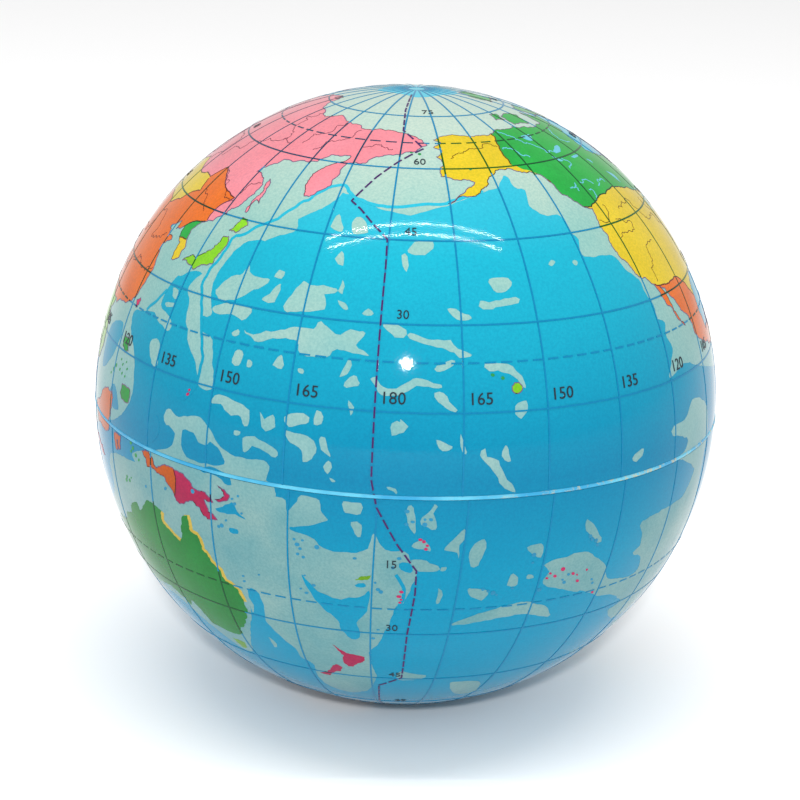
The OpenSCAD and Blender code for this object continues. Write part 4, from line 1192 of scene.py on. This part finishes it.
# ---- Lakes and islets ----
# Lakes and rivers of the green lands are knocked out to a pale blue. Islets are dots of one ink
# each, too small to fill, in groups over the shallow seas.
WATER_R = BALL_R + 0.036 * MM
LAKES = [
    [(-124, 66.8), (-118, 66.8), (-120.5, 65), (-123, 65.5)],
    [(-117, 61.6), (-110, 62.8), (-113, 61)],
    [(-121, 60.8), (-119, 60.2), (-117.5, 59.2), (-120, 59.6)],
    [(-111, 59.3), (-105.5, 59.5), (-108, 58.8)],
    [(-103, 57.8), (-101.5, 57.2), (-102.5, 56.3)],
    [(-99, 54), (-97, 50.6), (-96.3, 52.5)],
    [(-92, 48.3), (-84.8, 46.7), (-88, 47.6)],
    [(-87.8, 42), (-86.5, 42.2), (-85.8, 45.8), (-87.5, 44.5)],
    [(-83.3, 44), (-80, 45), (-81.5, 43.2)],
]
STREAMS = [
    [(-117, 61.5), (-121, 61.8), (-124, 64.5), (-129, 66.2), (-134, 69)],
    [(-118, 57.3), (-115, 58.3), (-117, 60)],
    [(-114, 53), (-117.5, 54.5), (-120, 54)],
    [(-107, 52.5), (-110, 53.5), (-112.5, 52.3)],
    [(-125.5, 53.5), (-122, 54.3), (-123, 52.5)],
    [(-119, 50), (-117, 51.8), (-118.5, 52.3)],
    [(-131, 61.5), (-134, 62.5), (-139.5, 64.2)],
    [(-98, 62), (-102, 64), (-98, 66.5)],
]
STREAM_W = 0.16 * MM / BALL_R
DOT = 0.26 * MM / BALL_R
ISLETS = {
    ("blue", "2b84a8"): [
        (167, -10), (168.5, -10), (167.5, -11), (168, -11.8), (171, -11), (167.5, -13), (168.5, -13.5),
        (177.5, -12.5), (185, -12), (184, -14), (168.5, -17.5), (170, -19.5), (167.5, -20.7),
        (168.5, -21.5), (181, -17.5), (181.5, -19), (182, -19.5), (181.5, -29), (180.5, -31.5),
        (186, -2.5), (187, -4.5), (186, -5), (189, -4), (190, -4), (189, -5), (200, -19), (201, -19.5),
        (202, -20), (202.7, -20.5), (215.5, -19), (216, -19.7), (216.5, -18), (222.5, -20.5),
        (223, -21.5), (211, -20.5), (219.5, -10.3), (220, -11), (221, -11.5), (221.5, -12.5),
        (208.5, -12.3), (208.5, -14), (205.5, -19.3), (155.5, -4.3), (156, -5.2), (156.7, -3.5),
        (154, -9), (153, -10.3), (152.3, -10.7), (157.3, -6.8), (156, -20.5), (159.5, -19.3),
        (156, -21.7), (147, -5), (134, -8), (140, -6.5),
    ],
    ("magenta", "b4285a"): [
        (188.4, -8), (189, -8.4), (189.6, -9.2), (189.4, -9.9), (185.6, -19.3), (185.2, -20.4),
        (185.6, -21.1), (185.4, -21.8), (212.5, -17), (212, -18), (213.6, -17.8), (215, -16.5),
        (217.5, -18), (218.5, -18.5), (219, -20), (220.5, -17.8), (224, -24), (144.8, 13.4),
        (144.6, 12.6),
    ],
    ("green", "2c8a4a"): [
        (122.5, 13.3), (123.5, 12.6), (124.8, 13.4), (125.6, 12.3), (122.6, 11.4), (123.8, 11),
        (125.2, 10.8), (118.5, 9.6), (119.6, 10.6), (120.6, 11.6), (127, -8.4), (128, -8.8),
        (126.6, -9.2), (128.8, -8), (129.6, -0.6), (130.3, -1.5), (129.6, -2.3), (131.3, -2.6),
        (132.3, -3.2), (200.2, 21.4), (202, 20.8), (184, 64), (187, 63.6), (203.5, 59.8),
    ],
}

waters = soft_patches(LAKES)
for points in STREAMS:
    trace(waters, ragged_run(points, RIVER_ROUGH), STREAM_W)


def plain_ink(name, code):
    recipe = Recipe(name)
    return inked_surface(recipe, recipe.blend(recipe.grain(2 * MM), colour(code), colour(code, 0.8)))


print_both(waters, "lake_print", WATER_R, plain_ink("lake_blue", "62b4c8"), "print_blue")
for (name, code), places in ISLETS.items():
    dots = bmesh.new()
    dice = random.Random(name)
    for lon, lat in places:
        spot = drawn(lon, lat)
        turn = UP.rotation_difference(spot).to_matrix().to_4x4()
        bmesh.ops.create_circle(
            dots,
            cap_ends=True,
            segments=9,
            radius=DOT * dice.uniform(0.6, 1.2),
            matrix=Matrix.Translation(spot) @ turn @ Matrix.Diagonal((1, dice.uniform(0.6, 1), 1, 1)),
        )
    print_both(dots, f"{name}_islets", WATER_R, plain_ink(f"islet_{name}", code), "print_line")


# ---- Net ----
# The net of meridians and parallels is one thin blue plate over everything. Its lines are ruled
# every 15 degrees, and the tropics and the polar circles are dashed.
NET_R = BALL_R + 0.05 * MM
NET_W = 0.19 * MM / BALL_R
NET_STEP = 15
DASH = 1.25 * MM / BALL_R
GAP = 0.6 * MM / BALL_R
POLE_CLEAR = 88.6
SPIN_STEP = 0.9 * MM / BALL_R
# The southern film went on a little turned, so its meridians miss the northern ones at the seam
SLIP = 1.2
SLANT = 0.04


def rule(form, start, axis, span):
    """One ruled line: a short edge across it, swept by an angle about an axis of the ball."""
    across = start.cross(axis.cross(start)).normalized() * NET_W / 2
    ends = [form.verts.new(start + across), form.verts.new(start - across)]
    length = span * axis.cross(start).length
    bmesh.ops.spin(
        form,
        geom=ends + [form.edges.new(ends)],
        cent=(0, 0, 0),
        axis=axis,
        angle=span,
        steps=max(1, round(length / SPIN_STEP)),
        use_merge=span == math.tau,
    )


def dashed(form, start):
    """A whole parallel in even dashes, from a point on it."""
    turn = (DASH + GAP) / UP.cross(start).length
    for count in range(int(math.tau / turn)):
        ends = (count + share * DASH / (DASH + GAP) for share in (0, 0.5, 1))
        trace(form, [Matrix.Rotation(end * turn, 3, UP) @ start for end in ends], NET_W)


net = bmesh.new()
for lon in range(0, 360, NET_STEP):
    start = drawn(lon, POLE_CLEAR)
    rule(net, start, UP.cross(start).normalized(), math.pi / 2 - UP.angle(start))
    slipped = [drawn(lon + SLIP + SLANT * lat, lat) for lat in np.arange(0, -POLE_CLEAR, -1.5)]
    trace(net, slipped, NET_W)
for lat in (75, 60, 45, 30, 15, -30, -45, -60, -75):
    rule(net, drawn(0, lat), UP, math.tau)
for lat in (66.5, 23.5, -23.5, -66.5):
    dashed(net, drawn(0, lat))
net_paint = overprint_finish("net_ink", "0a759c")
print_both(net, "net_print", NET_R, net_paint, "print_line", "net", tint_ground)


# ---- Date line and numbers ----
# The date line is dashed in dark violet and comes last of the lines. The meridians and parallels
# carry plain degree numbers in small black figures.
MARK_R = BALL_R + 0.062 * MM
DATE_W = 0.2 * MM / BALL_R
DATE_STEP = 0.4 * MM / BALL_R
DATE_CYCLE = 4
DATE_LINE = [
    (176, 85), (177.5, 77), (179.5, 70), (188.5, 65), (180, 61.5), (174, 57.5), (169, 52), (172, 50.5),
    (175.5, 48), (179.7, 45), (180, 40), (180, 3), (181, -2), (184.5, -9), (188, -14.5), (188, -19.5),
    (187, -30), (186.5, -44.5), (181, -48.5), (180, -60), (180, -80),
]
FIGURE_H = 1.9 * MM / BALL_R


def spaced(points, step):
    """Points every step along straight runs between map points."""
    ring = [drawn(*p) for p in points]
    line = []
    for a, b in zip(ring, ring[1:]):
        count = max(1, round((b - a).length / step))
        line += [((b - a) * i / count + a).normalized() for i in range(count)]
    return line + [ring[-1]]


date_marks = bmesh.new()
date_run = spaced(DATE_LINE, DATE_STEP)
for first in range(0, len(date_run) - DATE_CYCLE, DATE_CYCLE):
    # The dash takes all the steps of a cycle but the last
    trace(date_marks, date_run[first : first + DATE_CYCLE], DATE_W)
print_both(date_marks, "date_line", MARK_R, plain_ink("date_ink", "45225c"), "print_magenta")


def figures(form, text, lon, lat, height):
    """A small number printed on the ball with its middle at a map point."""
    curve = bpy.data.curves.new("figures", "FONT")
    curve.body, curve.size, curve.resolution_u = text, 1.0, 3
    curve.align_x, curve.align_y = "CENTER", "CENTER"
    holder = bpy.data.objects.new("figures", curve)
    bpy.context.scene.collection.objects.link(holder)
    bpy.context.view_layer.update()
    shape = bpy.data.meshes.new_from_object(holder)
    middle = drawn(lon, lat)
    east = UP.cross(middle).normalized()
    north = middle.cross(east)
    for vert in shape.vertices:
        vert.co = (middle + (east * vert.co.x + north * vert.co.y) * height).normalized()
    form.from_mesh(shape)
    bpy.data.objects.remove(holder)
    bpy.data.curves.remove(curve)
    bpy.data.meshes.remove(shape)


numbers = bmesh.new()
for lon in range(0, 360, NET_STEP):
    # East of each meridian, in the row below the tropic
    figures(numbers, str(min(lon, 360 - lon)), lon + 3, 17.3, FIGURE_H)
for lat in (75, 60, 45, 30, -15, -30, -45, -60, -75):
    beside = 3.5 / math.cos(math.radians(lat))
    for lon in (0, 90, 180, 270):
        figures(numbers, str(abs(lat)), lon + beside, lat + 1.6, FIGURE_H * 0.75)
bmesh.ops.triangulate(numbers, faces=numbers.faces[:])
print_both(numbers, "degree_numbers", MARK_R, plain_ink("black_ink", "27313a"), "print_line")


# ---- Camera, lights and floor ----
# A plain white studio: two long tubes overhead, a small round lamp just over the camera, and
# white all round. None of it is part of the ball.
FLOOR_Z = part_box("south_sea")[0].z - 0.1 * MM
CAMERA_AROUND = math.radians(5.1)
CAMERA_UP = math.radians(17.2)
CAMERA_ROLL = math.radians(2.07)
CAMERA_AWAY = 7.44 * BALL_R


def seen_from(around, up, away):
    """The place that is away from the ball's centre, at an angle round it and an angle up."""
    return away * Vector(
        (math.sin(around) * math.cos(up), -math.cos(around) * math.cos(up), math.sin(up))
    )


def floor_finish():
    recipe = Recipe("floor_white")
    cloud = recipe.grain(60 * MM)
    tint = recipe.blend(0.03 * cloud, (0.95, 0.95, 0.95, 1), (1, 1, 1, 1))
    return recipe.surface(Base_Color=tint, Roughness=0.8)


floor_form = bmesh.new()
bmesh.ops.create_grid(floor_form, x_segments=2, y_segments=2, size=3)
bmesh.ops.translate(floor_form, vec=(0, 0, FLOOR_Z), verts=floor_form.verts)
floor_data = bpy.data.meshes.new("floor")
floor_form.to_mesh(floor_data)
floor_form.free()
floor_data.materials.append(floor_finish())
floor = bpy.data.objects.new("floor", floor_data)
bpy.context.scene.collection.objects.link(floor)


def lamp(name, place, power, width, depth=None):
    """A flat lamp that faces the ball's centre. With no depth given, it is round."""
    light = bpy.data.lights.new(name, "AREA")
    light.shape = "RECTANGLE" if depth else "DISK"
    light.size, light.energy = width, power
    if depth:
        light.size_y = depth
    holder = bpy.data.objects.new(name, light)
    holder.location = place
    holder.rotation_euler = (-place).to_track_quat("-Z", "Y").to_euler()
    bpy.context.scene.collection.objects.link(holder)


for up in (78.5, 74.3):
    lamp("tube", seen_from(CAMERA_AROUND + 0.06, math.radians(up), 0.75), 1.6, 0.75, 0.005)
lamp("spot", seen_from(CAMERA_AROUND, math.radians(27.5), 0.9), 3.8, 0.055)

world = bpy.data.worlds.new("studio")
world.use_nodes = True
world.node_tree.nodes["Background"].inputs["Color"].default_value = (1, 1, 1, 1)
world.node_tree.nodes["Background"].inputs["Strength"].default_value = 0.8
bpy.context.scene.world = world
bpy.context.scene.view_settings.view_transform = "Standard"

lens = bpy.data.cameras.new("camera")
lens.lens, lens.sensor_width = 102.8, 36
lens.shift_x, lens.shift_y = -0.0071, -0.0075
camera = bpy.data.objects.new("camera", lens)
camera.location = seen_from(CAMERA_AROUND, CAMERA_UP, CAMERA_AWAY)
turned = (-camera.location).to_track_quat("-Z", "Y").to_matrix()
camera.rotation_euler = (turned @ Matrix.Rotation(CAMERA_ROLL, 3, "Z")).to_euler()
bpy.context.scene.collection.objects.link(camera)
bpy.context.scene.camera = camera
